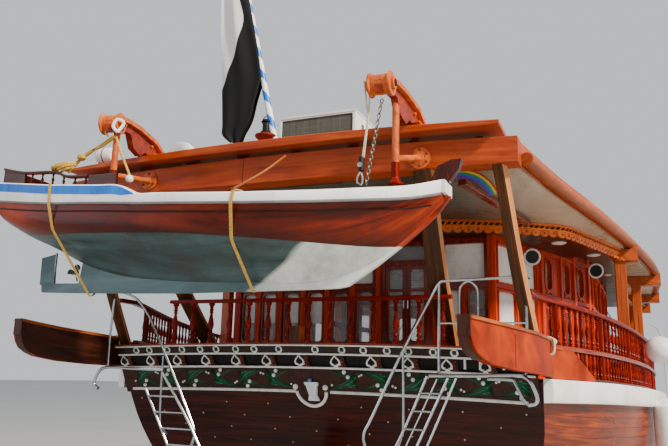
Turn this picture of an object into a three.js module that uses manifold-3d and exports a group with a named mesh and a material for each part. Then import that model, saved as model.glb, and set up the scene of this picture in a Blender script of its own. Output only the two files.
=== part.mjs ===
// Large wooden cruising dhow with the boat slung across its stern.
// Frame: origin on the waterline amidships on the centreline, +X starboard, +Y ahead, +Z up.
// All sizes below are metres; every finished piece is scaled to millimetres at the end.
import * as THREE from 'three';
import { mergeVertices } from 'three/addons/utils/BufferGeometryUtils.js';
import Module from 'manifold-3d';

const wasm = await Module();
wasm.setup();

const MM_PER_M = 1000;
const GAP = 0.0006;

// Hull lines: one row per station.
const HULL_COLUMNS = ['y', 'sheer', 'deck', 'side', 'water', 'zWater', 'bilge', 'zBilge', 'zBottom'];
const STATIONS = [
  [-11.0, 2.91, 4.33, 4.18, 3.70, 0.35, 1.95, -0.42, -0.82],
  [-9.8, 2.87, 4.64, 4.53, 4.10, 0.15, 2.50, -0.80, -1.10],
  [-8.2, 2.82, 4.92, 4.82, 4.45, 0.10, 3.00, -1.00, -1.32],
  [-6.0, 2.76, 5.12, 5.04, 4.75, 0.10, 3.45, -1.15, -1.50],
  [-3.0, 2.70, 5.24, 5.16, 4.92, 0.10, 3.70, -1.22, -1.58],
  [0.0, 2.68, 5.22, 5.12, 4.86, 0.10, 3.60, -1.22, -1.60],
  [3.0, 2.74, 5.02, 4.84, 4.45, 0.10, 3.15, -1.18, -1.58],
  [6.0, 2.92, 4.55, 4.22, 3.60, 0.10, 2.35, -1.10, -1.52],
  [8.5, 3.15, 3.85, 3.35, 2.50, 0.12, 1.45, -0.98, -1.42],
  [10.5, 3.42, 3.05, 2.35, 1.30, 0.30, 0.70, -0.55, -0.85],
  [12.2, 3.70, 2.20, 1.40, 0.70, 1.30, 0.40, 0.85, 0.60],
  [13.6, 3.98, 1.35, 0.80, 0.48, 2.50, 0.30, 2.12, 1.90],
  [14.9, 4.28, 0.42, 0.36, 0.30, 3.70, 0.23, 3.50, 3.30],
  [15.35, 4.40, 0.20, 0.19, 0.18, 4.20, 0.17, 4.12, 4.05],
].map((row) => Object.fromEntries(HULL_COLUMNS.map((key, i) => [key, row[i]])));
const KEEL_HALF = 0.16;
const DECK_CAMBER = 0.07;
const DECK_THICK = 0.05;
const WATERWAY = 0.24;
const RINGS_PER_STATION = 2;
const GIRTH_STEPS = 8;

// Raked transom plane: y = TRANSOM_Y - TRANSOM_RAKE * (z - TRANSOM_Z)
const TRANSOM_Y = -13.5;
const TRANSOM_Z = 3.45;
const TRANSOM_RAKE = 0.53;
const TRANSOM = {
  sheer: 2.96, deck: 3.50, side: 3.42, water: 2.85, zWater: 0.90, bilge: 1.20, zBilge: 0.10, zBottom: -0.25,
};

// Bulwark, rails and rubbing bands.
const BAND = { up: 0.06, down: 0.27, thick: 0.13, bevel: 0.02, fore: 15.30 };
const RAIL_INSET = 0.12;
const FOOT_RAIL = { up: 0.045, half: 0.055, high: 0.06, aft: -12.80 };
const MID_RAIL = { up: 0.48, half: 0.06, high: 0.07, aft: -13.12 };
const TOP_RAIL = { half: 0.07, high: 0.07, aft: -13.70 };
const TOP_RAIL_UP = [
  { y: -13.2, up: 1.22 },
  { y: -9.0, up: 1.10 },
  { y: -4.0, up: 1.04 },
  { y: 16.0, up: 1.04 },
];
const RAIL_FORE = 3.6;
const DECK_RUN = { aft: -12.9, fore: 14.2, lap: 0.05 };
const SIDE_BALUSTER = { from: -12.70, pitch: 0.32, size: 0.075 };
const BOW_BULWARK = { from: 3.55, to: 15.20, up: 0.72, thick: 0.10, edge: 0.02, clear: 0.158, least: 0.04, capHigh: 0.08,
  capHalf: 0.10, capLap: 0.01, inset: 0.07 };

// Roof over the after deck and saloon.
const ROOF = { under: 5.60, soffit: 0.04, top: 5.94, aft: -14.62, fore: 3.2, rows: 14 };
const ROOF_PLAN = [
  { y: -14.62, half: 3.46 },
  { y: -13.0, half: 3.74 },
  { y: -11.0, half: 4.16 },
  { y: -8.3, half: 4.66 },
  { y: -6.0, half: 5.02 },
  { y: -4.0, half: 5.22 },
  { y: -1.0, half: 5.30 },
  { y: 3.2, half: 5.10 },
];
const EDGE_TUBE = { radius: 0.09, sides: 8, z: 5.70, clear: 0.006 };
const EDGE_BOARD = { low: 5.62, top: 5.935, thick: 0.026, clear: 0.004 };
const SIDE_POST = { ys: [-8.3, -4.3, -0.3, 3.0], half: 0.11, top: 5.50, inset: 0.38, eave: 0.12 };
const POST_HEAD = { half: 0.15, low: 5.36, inner: 0.30, step: 0.10, out: 0.20, edge: 0.055, top: 5.66 };
const BEAM = { x0: -3.50, x1: 3.50, y0: -14.93, y1: -14.63, low: 5.61, top: 6.01, arch: 0.09 };
const PLANK = { x0: -3.45, x1: 3.30, y0: -15.08, y1: -14.45, low: 6.07, top: 6.20, arch: 0.11 };
const ARCH_SPAN = 3.50;

// Stern: frieze boards above the transom, balustrade, wings, raked posts.
const FRIEZE = { top: 3.45, arch: 0.06, half: 3.46 };
const FRIEZE_BOARDS = [
  { low: 2.68, top: 3.10, thick: 0.12 },
  { low: 3.09, top: 3.28, thick: 0.08 },
  { low: 3.27, top: 3.43, thick: 0.13 },
  { low: 3.42, top: 3.45, thick: 0.17 },
];
const STERN_RAIL = { half: 2.36, deep: 0.05, z: 4.13, high: 0.055, y: -13.62, first: -2.26, pitch: 0.345, count: 14,
  radius: 0.045 };
const WING = [
  { y: -16.08, x: 3.00, thick: 0.13, low: 3.42, top: 3.60 },
  { y: -16.04, x: 3.01, thick: 0.13, low: 3.33, top: 3.60 },
  { y: -15.95, x: 3.04, thick: 0.13, low: 3.25, top: 3.595 },
  { y: -15.80, x: 3.09, thick: 0.12, low: 3.19, top: 3.59 },
  { y: -15.60, x: 3.16, thick: 0.10, low: 3.14, top: 3.585 },
  { y: -15.00, x: 3.33, thick: 0.09, low: 3.09, top: 3.565 },
  { y: -14.20, x: 3.48, thick: 0.09, low: 3.06, top: 3.545 },
  { y: -13.55, x: 3.55, thick: 0.09, low: 3.05, top: 3.52 },
];
const WING_FORE = { ys: [-13.0, -12.5, -12.05, -11.5, -10.95], full: -12.05, tip: -10.95, inset: 0.035, thick: 0.07,
  top: 3.43, tipHigh: 0.03, clear: 0.003 };

// Raked posts: middle of the aft face at foot and head, section sizes, turn about the vertical.
const OUTER_POST = { x0: 3.41, y0: -13.24, z0: 3.10, x1: 3.22, y1: -14.89, z1: 5.583, wide: 0.15, deep: 0.16,
  turn: 20 };
const INNER_POST = { x0: 2.05, y0: -12.47, z0: 3.06, x1: 2.27, y1: -14.91, z1: 5.596, wide: 0.26, deep: 0.15,
  turn: 12 };
const POST_FOOT_Z = 2.85;

// Saloon walls, lights, doors and glass.
const WALL_TOP = 5.585;
const WALL_THICK = 0.08;
const SALOON_AFT = -11.2;
const SALOON_FORE = 1.6;
const SALOON_SIDE = [
  { y: -11.2, x: 2.50 },
  { y: -9.4, x: 3.12 },
  { y: -7.2, x: 3.88 },
  { y: -2.0, x: 4.02 },
  { y: 1.6, x: 3.90 },
];
const LOW_LIGHT = { z0: 3.60, z1: 4.50 };
const HIGH_LIGHT = { z0: 4.66, z1: 5.32 };
const NARROW_LIGHT = { z0: 4.72, z1: 5.32 };
const FRONT_LIGHT = { z0: 3.95, z1: 5.10 };
const AFT_LOW = [[-2.38, -2.12], [-1.95, -1.67], [-1.46, -1.18], [-0.97, -0.69], [-0.47, -0.18], [0.02, 0.31],
  [1.64, 1.92], [2.08, 2.36]];
const AFT_HIGH = [[-2.38, -1.67], [-1.46, -0.69], [-0.47, 0.31], [1.66, 2.36]];
const SIDE_LIGHTS = [[-11.02, -10.40], [-10.15, -9.62], [-6.80, -5.90], [-5.60, -4.70], [-4.40, -3.50],
  [-3.20, -2.30], [-1.70, -0.80], [-0.50, 0.40]];
const SIDE_NARROW = [[-9.26, -9.00], [-8.47, -8.22], [-7.84, -7.54]];
const FRONT_LIGHTS = [[0.55, 1.30], [1.50, 2.25], [2.45, 3.20]];
const FRONT_DOORWAY = [-0.40, 0.40, 2.95, 4.95];
const LIGHT_CORNER = 0.07;
const PILASTER = { half: 0.05, proud: 0.05, buried: 0.04 };
const AFT_PILASTERS = [-1.565, -0.58, 0.435, 1.50];
const AFT_HALF_PILASTERS = [-2.035, -1.075, -0.08, 2.0];
const WAIST = { z0: 4.53, z1: 4.63, proud: 0.035 };
const SIDE_PILASTERS = [-10.28, -9.44, -8.62, -8.02, -7.32, -6.95, -5.75, -4.55, -3.35, -1.95, -0.65, 0.9];
const DOOR = { mid: 0.955, half: 0.395, low: 3.10, top: 4.98, clear: 0.008, lightLow: 5.06, lightInset: 0.04 };
const LEAF = { set: 0.012, thick: 0.045, stile: 0.07, sunk: 0.014, parting: 0.003 };
const LEAF_PANES = [[3.20, 3.52], [3.62, 4.90]];
const GLASS = { clear: 0.002, thick: 0.012, low: 3.50, top: 5.40, doorClear: 0.03 };

// Cornice round the after deck ceiling, from the centreline to starboard.
const CORNICE = [
  { x: 0.95, y: -12.20 },
  { x: 1.84, y: -12.00 },
  { x: 2.72, y: -11.64 },
  { x: 3.40, y: -11.17 },
  { x: 3.72, y: -10.86 },
  { x: 4.05, y: -9.90 },
  { x: 4.50, y: -8.52 },
];
const CORNICE_MIDDLE = { x: 0, y: -12.28 };
const CORNICE_SIZE = { low: 5.37, scallop: 0.055, lobes: 40, top: 5.5994, thick: 0.028, head: 0.055 };
const CEILING = { low: 5.445, top: 5.465, wallClear: 0.075, tuck: 0.012 };

// Davits: arm outline in (distance aft of its foot, height); the port one is swung inboard.
const DAVIT = { x: 2.14, y: -14.62, half: 0.055, turn: { starboard: 0, port: 13.7 } };
const DAVIT_ARM = [[-0.17, 6.12], [-0.12, 6.36], [0.20, 6.48], [0.77, 6.50], [1.13, 6.48], [1.50, 6.42], [1.62, 6.30],
  [1.60, 6.16], [1.40, 6.20], [1.20, 6.30], [1.01, 6.31], [0.89, 6.14], [0.64, 6.06], [0.52, 6.06], [0.50, 6.12]];
const DAVIT_FLANGE = { half: 0.10, from: 0.20, to: 1.13, low: 6.455, top: 6.50 };
const DAVIT_HEAD = { at: 1.50, z: 6.29, radius: 0.15, half: 0.14 };
const STRUT = { top: 6.28, radius: 0.045, flange: 0.14, flangeThick: 0.05, clear: 0.003 };
const STRUT_PLACE = {
  starboard: { at: 0.94, low: 5.26, braceLow: 5.56, braceTop: 5.74, braceX: 2.27 },
  port: { at: 1.34, low: 5.42, braceLow: 5.60, braceTop: 5.80, braceX: -1.98 },
};

// Boat slung across the stern: rows run along X from its stern (port) to its stem (starboard).
const BOAT_Y = -16.05;
const BOAT_COLUMNS = ['y', 'top', 'half', 'rail', 'side', 'turn', 'zTurn', 'bilge', 'zBilge', 'zBottom'];
const BOAT = [
  [-3.05, 5.39, 0.62, 5.13, 0.62, 0.60, 5.00, 0.40, 4.88, 4.84],
  [-2.60, 5.32, 0.71, 5.06, 0.70, 0.66, 4.80, 0.44, 4.68, 4.62],
  [-2.05, 5.24, 0.78, 4.99, 0.77, 0.72, 4.68, 0.40, 4.52, 4.36],
  [-1.20, 5.15, 0.84, 4.92, 0.83, 0.79, 4.58, 0.38, 4.36, 4.14],
  [-0.30, 5.02, 0.86, 4.85, 0.85, 0.80, 4.50, 0.34, 4.26, 4.06],
  [0.60, 4.95, 0.82, 4.80, 0.80, 0.72, 4.44, 0.26, 4.22, 4.03],
  [1.40, 4.92, 0.70, 4.78, 0.67, 0.54, 4.42, 0.16, 4.20, 4.02],
  [2.10, 4.94, 0.48, 4.80, 0.43, 0.28, 4.50, 0.09, 4.34, 4.24],
  [2.60, 4.99, 0.26, 4.84, 0.20, 0.11, 4.72, 0.05, 4.62, 4.60],
  [2.86, 5.06, 0.12, 4.90, 0.08, 0.06, 4.88, 0.045, 4.86, 4.84],
].map((row) => Object.fromEntries(BOAT_COLUMNS.map((key, i) => [key, row[i]])));
const BOAT_GIRTH_STEPS = 7;
const BOAT_WALL = { inset: 0.05, floor: 0.05 };
const BOAT_RUB = { clear: 0.005, out: 0.04, drop: 0.02, end: 0.045 };
const BOAT_KEEL = { half: 0.03, inner: 0.035 };
const BOAT_KEEL_LINE = [[2.862, 4.905], [2.94, 4.905], [2.80, 4.725], [2.60, 4.55], [2.40, 4.39], [2.09, 4.165],
  [1.76, 3.955], [1.29, 3.93], [-0.49, 3.925], [-2.02, 3.96], [-2.72, 3.985], [-2.74, 4.105], [-2.09, 4.09]];
const BOAT_TAFFRAIL = { aft: -3.02, fore: -1.36, z: 5.50, high: 0.04, inset: 0.035, half: 0.03, posts: 6 };
const BOAT_SCREW = { x: -2.20, z: 4.24, radius: 0.12, hub: 0.028, length: 0.12 };
const BOAT_RUDDER = { x0: -2.78, x1: -2.53, low: 4.125, top: 4.46, stockX: -2.55, stockTop: 4.575 };

// Underwater gear of the hull.
const STERN_POST = { set: 0.28, top: 1.6, heel: -2.1, half: 0.15 };
const STEM_LINE = [[15.352, 4.55], [15.44, 5.10], [15.50, 5.64], [15.84, 5.60], [15.88, 4.62], [15.80, 4.15],
  [15.44, 3.30], [14.05, 1.75], [12.65, 0.40], [10.95, -1.10], [9.6, -1.95], [8.6, -2.10]];
const SCREW_APERTURE = [[-10.42, -1.14], [-9.56, -1.30], [-9.50, -1.90], [-10.30, -1.90]];
const BLADE = { wide: 0.62, thick: 0.22, root: 0.4, pitch: 0.5 };
const SCREW = { y: -9.98, z: -1.60, radius: 0.27, hub: 0.07, length: 0.24 };
const RUDDER = { gap: 0.065, half: 0.07 };
const RUDDER_LINE = [[1.7, 0], [1.7, 0.55], [0.4, 0.75], [-0.9, 1.05], [-1.9, 1.0], [-1.9, 0]];

// Rig.
const MAST = { foot: [0, 6.2, 3.06], head: [0, 8.0, 13.6], r0: 0.21, r1: 0.12, sides: 14 };
const YARD = [[0.62, -7.5, 7.30], [0.62, 3.2, 6.78], [0.62, 13.9, 6.20]];
const YARD_RADIUS = { end: 0.06, middle: 0.11 };
const STAYS = { radius: 0.02, ring: 0.19, ringFrom: 0.945, ringTo: 0.965, start: 0.155, shrouds: [4.4, 5.6, 6.8],
  stem: [0, 15.66, 5.64], eyeHalf: 0.05, eyeHigh: 0.22, clear: 0.007 };
const CRUTCH = { foot: 0.50, head: 0.13, leg: 0.075, cradle: 0.22, deep: 0.08, under: 0.22, over: 0.09, tie: 0.30 };
const CRUTCH_Y = { roof: -5.0, foredeck: 11.7 };
const BITTS = { y: 12.9, x: 0.34, half: 0.09, high: 0.72, foot: 0.2, bar: 0.62, barLow: 0.40, barHigh: 0.13 };

// Boarding ladder beside the transom: platform outboard, stiles swept in and down.
const LADDER = { y: -14.0, inner: -13.50, top: 3.00, outX: 3.40, cornerX: 3.42, cornerZ: 2.72, inX: 2.06, railX: 2.10,
  footX: 0.90, footZ: 0.35, sweep: 0.10, wide: 0.30, tube: 0.025, treads: 7, treadFore: 0.06, treadAft: 0.09,
  treadHalf: 0.015, plank: [-0.01, 0.02], plankEnd: -13.52 };

// Roof equipment and the flag.
const AIR_UNIT = { x0: -0.28, x1: 1.00, y0: -14.0, y1: -11.9, top: 6.93, clear: 0.002 };
const DOME = { x: -1.98, y: -14.15, clear: 0.002, sides: 16,
  profile: [[0, 0], [0.17, 0], [0.17, 0.10], [0.24, 0.30], [0.24, 0.44], [0.20, 0.58], [0.11, 0.68], [0, 0.71]] };
const FLAGSTAFF = { foot: [0.06, -14.75, 6.215], head: [-0.62, -14.95, 9.40], radius: 0.05 };
const FLAG = { x0: -0.95, x1: -0.40, y0: -15.02, y1: -15.0, low: 6.45, top: 9.0 };

const round = (v) => Math.round(v * 1e5) / 1e5;
const spread = (from, to, count) => Array.from({ length: count + 1 }, (_, i) => from + ((to - from) * i) / count);
const radians = (degrees) => (degrees * Math.PI) / 180;

function closed(geometry) {
  const g = geometry.index ? geometry.toNonIndexed() : geometry.clone();
  g.deleteAttribute('normal');
  g.deleteAttribute('uv');
  return mergeVertices(g, 1e-6);
}

function manifoldOf(geometry) {
  const m = closed(geometry);
  const mesh = new wasm.Mesh({
    numProp: 3,
    vertProperties: new Float32Array(m.attributes.position.array),
    triVerts: new Uint32Array(m.index.array),
  });
  return new wasm.Manifold(mesh);
}

function geometryOf(manifold) {
  const mesh = manifold.getMesh();
  const g = new THREE.BufferGeometry();
  g.setAttribute('position', new THREE.BufferAttribute(new Float32Array(mesh.vertProperties), 3));
  g.setIndex(new THREE.BufferAttribute(new Uint32Array(mesh.triVerts), 1));
  return g;
}

function unite(parts) {
  return parts.reduce((a, b) => a.add(b));
}

function volume(g) {
  const p = g.attributes.position;
  const t = g.index.array;
  let sum = 0;
  for (let i = 0; i < t.length; i += 3) {
    const a = new THREE.Vector3().fromBufferAttribute(p, t[i]);
    const b = new THREE.Vector3().fromBufferAttribute(p, t[i + 1]);
    const c = new THREE.Vector3().fromBufferAttribute(p, t[i + 2]);
    sum += a.dot(b.cross(c));
  }
  return sum;
}

function flipped(g) {
  const t = g.index.array;
  for (let i = 0; i < t.length; i += 3) {
    [t[i], t[i + 1]] = [t[i + 1], t[i]];
  }
  return g;
}

// Closed skin over rings of [x, y, z] points; ends filled from the first and last ring.
function loft(rings) {
  const n = rings[0].length;
  const pos = rings.flat().flatMap((p) => p.map(round));
  const index = [];
  for (let r = 0; r + 1 < rings.length; r += 1) {
    for (let i = 0; i < n; i += 1) {
      const a = r * n + i;
      const b = r * n + ((i + 1) % n);
      index.push(a, b, a + n, b, b + n, a + n);
    }
  }
  const cap = (ring, base, turn) => {
    const v = ring.map((p) => new THREE.Vector3(...p));
    const normal = new THREE.Vector3();
    v.forEach((p, i) => {
      const q = v[(i + 1) % v.length];
      normal.x += (p.y - q.y) * (p.z + q.z);
      normal.y += (p.z - q.z) * (p.x + q.x);
      normal.z += (p.x - q.x) * (p.y + q.y);
    });
    normal.normalize();
    const side = Math.abs(normal.z) < 0.9 ? new THREE.Vector3(0, 0, 1) : new THREE.Vector3(1, 0, 0);
    const u = side.clone().cross(normal).normalize();
    const w = normal.clone().cross(u);
    const flat = v.map((p) => new THREE.Vector2(p.dot(u), p.dot(w)));
    THREE.ShapeUtils.triangulateShape(flat, []).forEach(([a, b, c]) => {
      index.push(...(turn ? [base + a, base + c, base + b] : [base + a, base + b, base + c]));
    });
  };
  cap(rings[0], 0, true);
  cap(rings[rings.length - 1], (rings.length - 1) * n, false);
  const g = new THREE.BufferGeometry();
  g.setAttribute('position', new THREE.BufferAttribute(new Float32Array(pos), 3));
  g.setIndex(index);
  return manifoldOf(volume(g) < 0 ? flipped(g) : g);
}

function box(x0, x1, y0, y1, z0, z1) {
  const g = new THREE.BoxGeometry(Math.abs(x1 - x0), Math.abs(y1 - y0), Math.abs(z1 - z0));
  g.translate((x0 + x1) / 2, (y0 + y1) / 2, (z0 + z1) / 2);
  return manifoldOf(g);
}

// Straight round rod between two points.
function rod(p, q, radius, sides = 6, radiusEnd = radius) {
  const a = new THREE.Vector3(...p);
  const b = new THREE.Vector3(...q);
  const g = new THREE.CylinderGeometry(radiusEnd, radius, a.distanceTo(b), sides);
  g.rotateX(Math.PI / 2);
  const to = b.clone().sub(a).normalize();
  g.applyQuaternion(new THREE.Quaternion().setFromUnitVectors(new THREE.Vector3(0, 0, 1), to));
  g.translate((a.x + b.x) / 2, (a.y + b.y) / 2, (a.z + b.z) / 2);
  return manifoldOf(g);
}

// Bent rod through a list of points, its pieces fused.
function bentRod(points, radius, sides = 5) {
  const parts = [];
  for (let i = 0; i + 1 < points.length; i += 1) {
    parts.push(rod(points[i], points[i + 1], radius, sides));
    if (i > 0) {
      const ball = new THREE.SphereGeometry(radius * 1.02, sides, 3);
      ball.translate(...points[i]);
      parts.push(manifoldOf(ball));
    }
  }
  return unite(parts);
}

// Turned shape: [radius, height] profile about a vertical line.
function turned(profile, x, y, sides) {
  const lathe = new THREE.LatheGeometry(profile.map(([r, z]) => new THREE.Vector2(r, z)), sides);
  lathe.rotateX(Math.PI / 2);
  lathe.translate(x, y, 0);
  const shape = closed(lathe);
  return manifoldOf(volume(shape) < 0 ? flipped(shape) : shape);
}

// Outline of [y, z] points given a thickness across x.
function sidePlate(outline, x0, x1) {
  return loft([outline.map(([y, z]) => [x0, y, z]), outline.map(([y, z]) => [x1, y, z])]);
}

// Outline of [x, y] points given a height.
function floorPlate(outline, z0, z1) {
  return loft([outline.map(([x, y]) => [x, y, z0]), outline.map(([x, y]) => [x, y, z1])]);
}

// Value of a column between the rows of a table, straight or on the smooth curve through them.
function linear(table, key, place, at = 'y') {
  const last = table.length - 1;
  const y = Math.min(Math.max(place, table[0][at]), table[last][at]);
  const i = Math.min(table.findLastIndex((row) => row[at] <= y), last - 1);
  const [a, b] = [table[i], table[i + 1]];
  return a[key] + ((b[key] - a[key]) * (y - a[at])) / (b[at] - a[at]);
}

function smooth(table, key, place) {
  const last = table.length - 1;
  const y = Math.min(Math.max(place, table[0].y), table[last].y);
  const i = Math.min(table.findLastIndex((row) => row.y <= y), last - 1);
  const chord = (k) => (table[k + 1][key] - table[k][key]) / (table[k + 1].y - table[k].y);
  const slope = (k) => {
    if (k === 0 || k === last) {
      return chord(k === 0 ? 0 : last - 1);
    }
    const before = table[k].y - table[k - 1].y;
    const after = table[k + 1].y - table[k].y;
    return (chord(k - 1) * after + chord(k) * before) / (before + after);
  };
  const step = table[i + 1].y - table[i].y;
  const t = (y - table[i].y) / step;
  return (2 * t ** 3 - 3 * t ** 2 + 1) * table[i][key] + (t ** 3 - 2 * t ** 2 + t) * step * slope(i)
    + (3 * t ** 2 - 2 * t ** 3) * table[i + 1][key] + (t ** 3 - t ** 2) * step * slope(i + 1);
}

// Points evenly spaced on the smooth line through knots of [half breadth, height].
function girth(knots, count) {
  let run = 0;
  const table = knots.map(([x, z], i) => {
    run += i ? Math.hypot(x - knots[i - 1][0], z - knots[i - 1][1]) : 0;
    return { y: run, x, z };
  });
  return spread(0, run, count).map((t) => [smooth(table, 'x', t), smooth(table, 'z', t)]);
}

const transomY = (z) => TRANSOM_Y - TRANSOM_RAKE * (z - TRANSOM_Z);

const hullGirth = (row) => girth([
  [row.deck, row.sheer], [row.side, row.sheer - 0.45 * (row.sheer - row.zWater)], [row.water, row.zWater],
  [row.bilge, row.zBilge], [KEEL_HALF, row.zBottom],
], GIRTH_STEPS);

// Rings of the starboard half of the hull, [x, y, z] from the deck edge down to the keel.
function halfRings() {
  const row = (y) => Object.fromEntries(Object.keys(TRANSOM).map((key) => [key, smooth(STATIONS, key, y)]));
  const aftmost = hullGirth(TRANSOM);
  const next = STATIONS.slice(0, 3).map(hullGirth);
  const counter = spread(0, 1, RINGS_PER_STATION).slice(0, -1).map((s) => aftmost.map(([x, z], j) => {
    const line = [{ y: transomY(z), x, z },
      ...next.map((ring, k) => ({ y: STATIONS[k].y, x: ring[j][0], z: ring[j][1] }))];
    const y = line[0].y + s * (line[1].y - line[0].y);
    return [smooth(line, 'x', y), y, smooth(line, 'z', y)];
  }));
  const ys = STATIONS.slice(1).flatMap((to, k) => spread(STATIONS[k].y, to.y, RINGS_PER_STATION).slice(k ? 1 : 0));
  return [...counter, ...ys.map((y) => hullGirth(row(y)).map(([x, z]) => [x, y, z]))];
}

const HALF_RINGS = halfRings();
const DECK_EDGE = HALF_RINGS.map(([[half, y, top]]) => ({ y, half, top }));
const deckHalf = (y) => linear(DECK_EDGE, 'half', y);
const sheer = (y) => linear(DECK_EDGE, 'top', y);
const hullTop = (x, y) => sheer(y) + DECK_CAMBER * (1 - Math.abs(x) / deckHalf(y));
const deckTop = (x, y) => hullTop(x, y) + DECK_THICK + GAP;
const railUp = (y) => smooth(TOP_RAIL_UP, 'up', y);

function hull() {
  return loft(HALF_RINGS.map((half) => {
    const [, y, z] = half[0];
    return [[0, y, z + DECK_CAMBER], ...half, ...half.map((p) => [-p[0], p[1], p[2]]).reverse()];
  }));
}

const HULL = hull();

// Two ends and every hull ring between them.
function ringsBetween(from, to) {
  return [from, ...DECK_EDGE.map((r) => r.y).filter((y) => y > from + 0.05 && y < to - 0.05), to];
}

function strip(side, ys, section) {
  return loft(ys.map((y) => section(y).map(([x, z]) => [side * x, y, z])));
}

function rubbingBand(side) {
  return strip(side, ringsBetween(DECK_EDGE[0].y + 0.02, BAND.fore), (y) => {
    const x = deckHalf(y) + GAP;
    const z = sheer(y);
    return [[x, z + BAND.up], [x + BAND.thick, z + BAND.up - BAND.bevel], [x + BAND.thick, z - BAND.down],
      [x, z - BAND.down]];
  });
}

function mainDeck() {
  const { aft, fore, lap } = DECK_RUN;
  return loft(ringsBetween(aft, fore).map((y) => {
    const x = deckHalf(y) - WATERWAY;
    const edge = hullTop(x, y);
    const mid = hullTop(0, y);
    return [[-x, y, edge - lap], [0, y, mid - lap], [x, y, edge - lap], [x, y, edge + DECK_THICK],
      [0, y, mid + DECK_THICK], [-x, y, edge + DECK_THICK]];
  })).subtract(HULL.translate([0, 0, GAP]));
}

const DECK = mainDeck();

// Foot trimmed to the deck planking and the hull edge.
function onDeck(manifold) {
  const cut = manifold.subtract(DECK.translate([0, 0, GAP])).subtract(HULL.translate([0, 0, GAP]));
  return cut.decompose().reduce((a, b) => (a.volume() > b.volume() ? a : b));
}

function sideRail(side, { aft, half, high }, up) {
  return strip(side, ringsBetween(aft, RAIL_FORE), (y) => {
    const x = deckHalf(y) - RAIL_INSET;
    const z = sheer(y) + up(y);
    return [[x - half, z], [x + half, z], [x + half, z + high], [x - half, z + high]];
  });
}

function sideBalusters(side) {
  const s = SIDE_BALUSTER.size / 2;
  const parts = [];
  for (let y = SIDE_BALUSTER.from; y < RAIL_FORE - 0.08; y += SIDE_BALUSTER.pitch) {
    const x = side * (deckHalf(y) - RAIL_INSET);
    parts.push(box(x - s, x + s, y - s, y + s, sheer(y) + 0.07, sheer(y) + railUp(y) - 0.03));
  }
  return parts;
}

function bowBulwark(side) {
  const { from, to, up, thick, edge, clear, least, capHigh, capHalf, capLap, inset } = BOW_BULWARK;
  const ys = ringsBetween(from, to);
  const planks = strip(side, ys, (y) => {
    const x = Math.max(deckHalf(y) - edge, clear + least);
    const inner = Math.max(x - thick, clear);
    const z = sheer(y);
    return [[inner, z + FOOT_RAIL.up], [x, z + FOOT_RAIL.up], [x, z + up], [inner, z + up]];
  });
  const capping = strip(side, ys, (y) => {
    const x = deckHalf(y) - inset;
    const inner = Math.max(x - capHalf, clear);
    const outer = Math.max(x, clear) + capHalf;
    const z = sheer(y) + up - capLap;
    return [[inner, z], [outer, z], [outer, z + capHigh], [inner, z + capHigh]];
  });
  return [planks, capping];
}

function bulwark(side) {
  return unite([
    sideRail(side, FOOT_RAIL, () => FOOT_RAIL.up),
    sideRail(side, MID_RAIL, () => MID_RAIL.up),
    sideRail(side, TOP_RAIL, (y) => railUp(y) - TOP_RAIL.high),
    ...sideBalusters(side),
    ...bowBulwark(side),
  ]);
}

const postAft = (z) => transomY(z) - STERN_POST.set;

function keelAndStem() {
  const bottom = HALF_RINGS.map((half) => half[GIRTH_STEPS]).map(([, y, z], i) => (
    i ? [y + (y > 8 ? 0.0012 : 0), z - 0.0012] : [y - 0.001, z - 0.001]));
  const { top, heel, half } = STERN_POST;
  const outline = [[transomY(top) - 0.001, top], ...bottom, ...STEM_LINE, [postAft(heel), heel], [postAft(top), top]];
  return sidePlate(outline, -half, half).subtract(sidePlate(SCREW_APERTURE, -0.4, 0.4));
}

function rudder() {
  const line = RUDDER_LINE.map(([z, aft]) => [postAft(z) - RUDDER.gap - aft, z]);
  return sidePlate(line, -RUDDER.half, RUDDER.half);
}

function screw(at, axis, { radius, hub, length }, blades) {
  const parts = [manifoldOf(new THREE.CylinderGeometry(hub, hub, length, 12))];
  for (let i = 0; i < blades; i += 1) {
    const blade = new THREE.BoxGeometry(radius * BLADE.wide, length * BLADE.thick, radius - hub * BLADE.root);
    blade.rotateZ(BLADE.pitch);
    blade.translate(0, 0, (radius + hub * BLADE.root) / 2);
    blade.rotateY((i * 2 * Math.PI) / blades);
    parts.push(manifoldOf(blade));
  }
  const g = geometryOf(unite(parts));
  if (axis === 'x') {
    g.rotateZ(Math.PI / 2);
  }
  g.translate(...at);
  return manifoldOf(g);
}

// Boards that follow the arched top of the transom, on its raked plane.
function sternFrieze() {
  return unite(FRIEZE_BOARDS.map(({ low, top, thick }) => loft(spread(-FRIEZE.half, FRIEZE.half, 12).map((x) => {
    const drop = FRIEZE.arch * (x / FRIEZE.half) ** 2;
    const point = (z, out) => [x, transomY(z - drop) - 0.001 - out, z - drop];
    return [point(low, 0), point(low, thick), point(top, thick), point(top, 0)];
  }))));
}

// Baluster turned between two heights.
function baluster(x, y, z0, z1, radius) {
  const shape = [[0, 1], [0.09, 1], [0.12, 0.6], [0.44, 1], [0.76, 0.5], [1, 0.9]];
  return turned([[0, z0], ...shape.map(([h, r]) => [radius * r, z0 + (z1 - z0) * h]), [0, z1]], x, y, 6);
}

function sternBalustrade() {
  const { half, deep, z, high, y, first, pitch, count, radius } = STERN_RAIL;
  const foot = (x) => FRIEZE.top - FRIEZE.arch * (x / FRIEZE.half) ** 2 + 0.003;
  const rail = [[-deep, -high], [deep, -high], [deep, -0.015], [deep * 0.6, 0], [-deep * 0.6, 0], [-deep, -0.015]];
  const parts = [loft([-half, half].map((x) => rail.map(([v, w]) => [x, y + v, z + w])))];
  for (let i = 0; i < count; i += 1) {
    const x = first + pitch * i;
    parts.push(baluster(x, y, foot(x), z - high + 0.02, radius));
  }
  return unite(parts);
}

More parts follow.
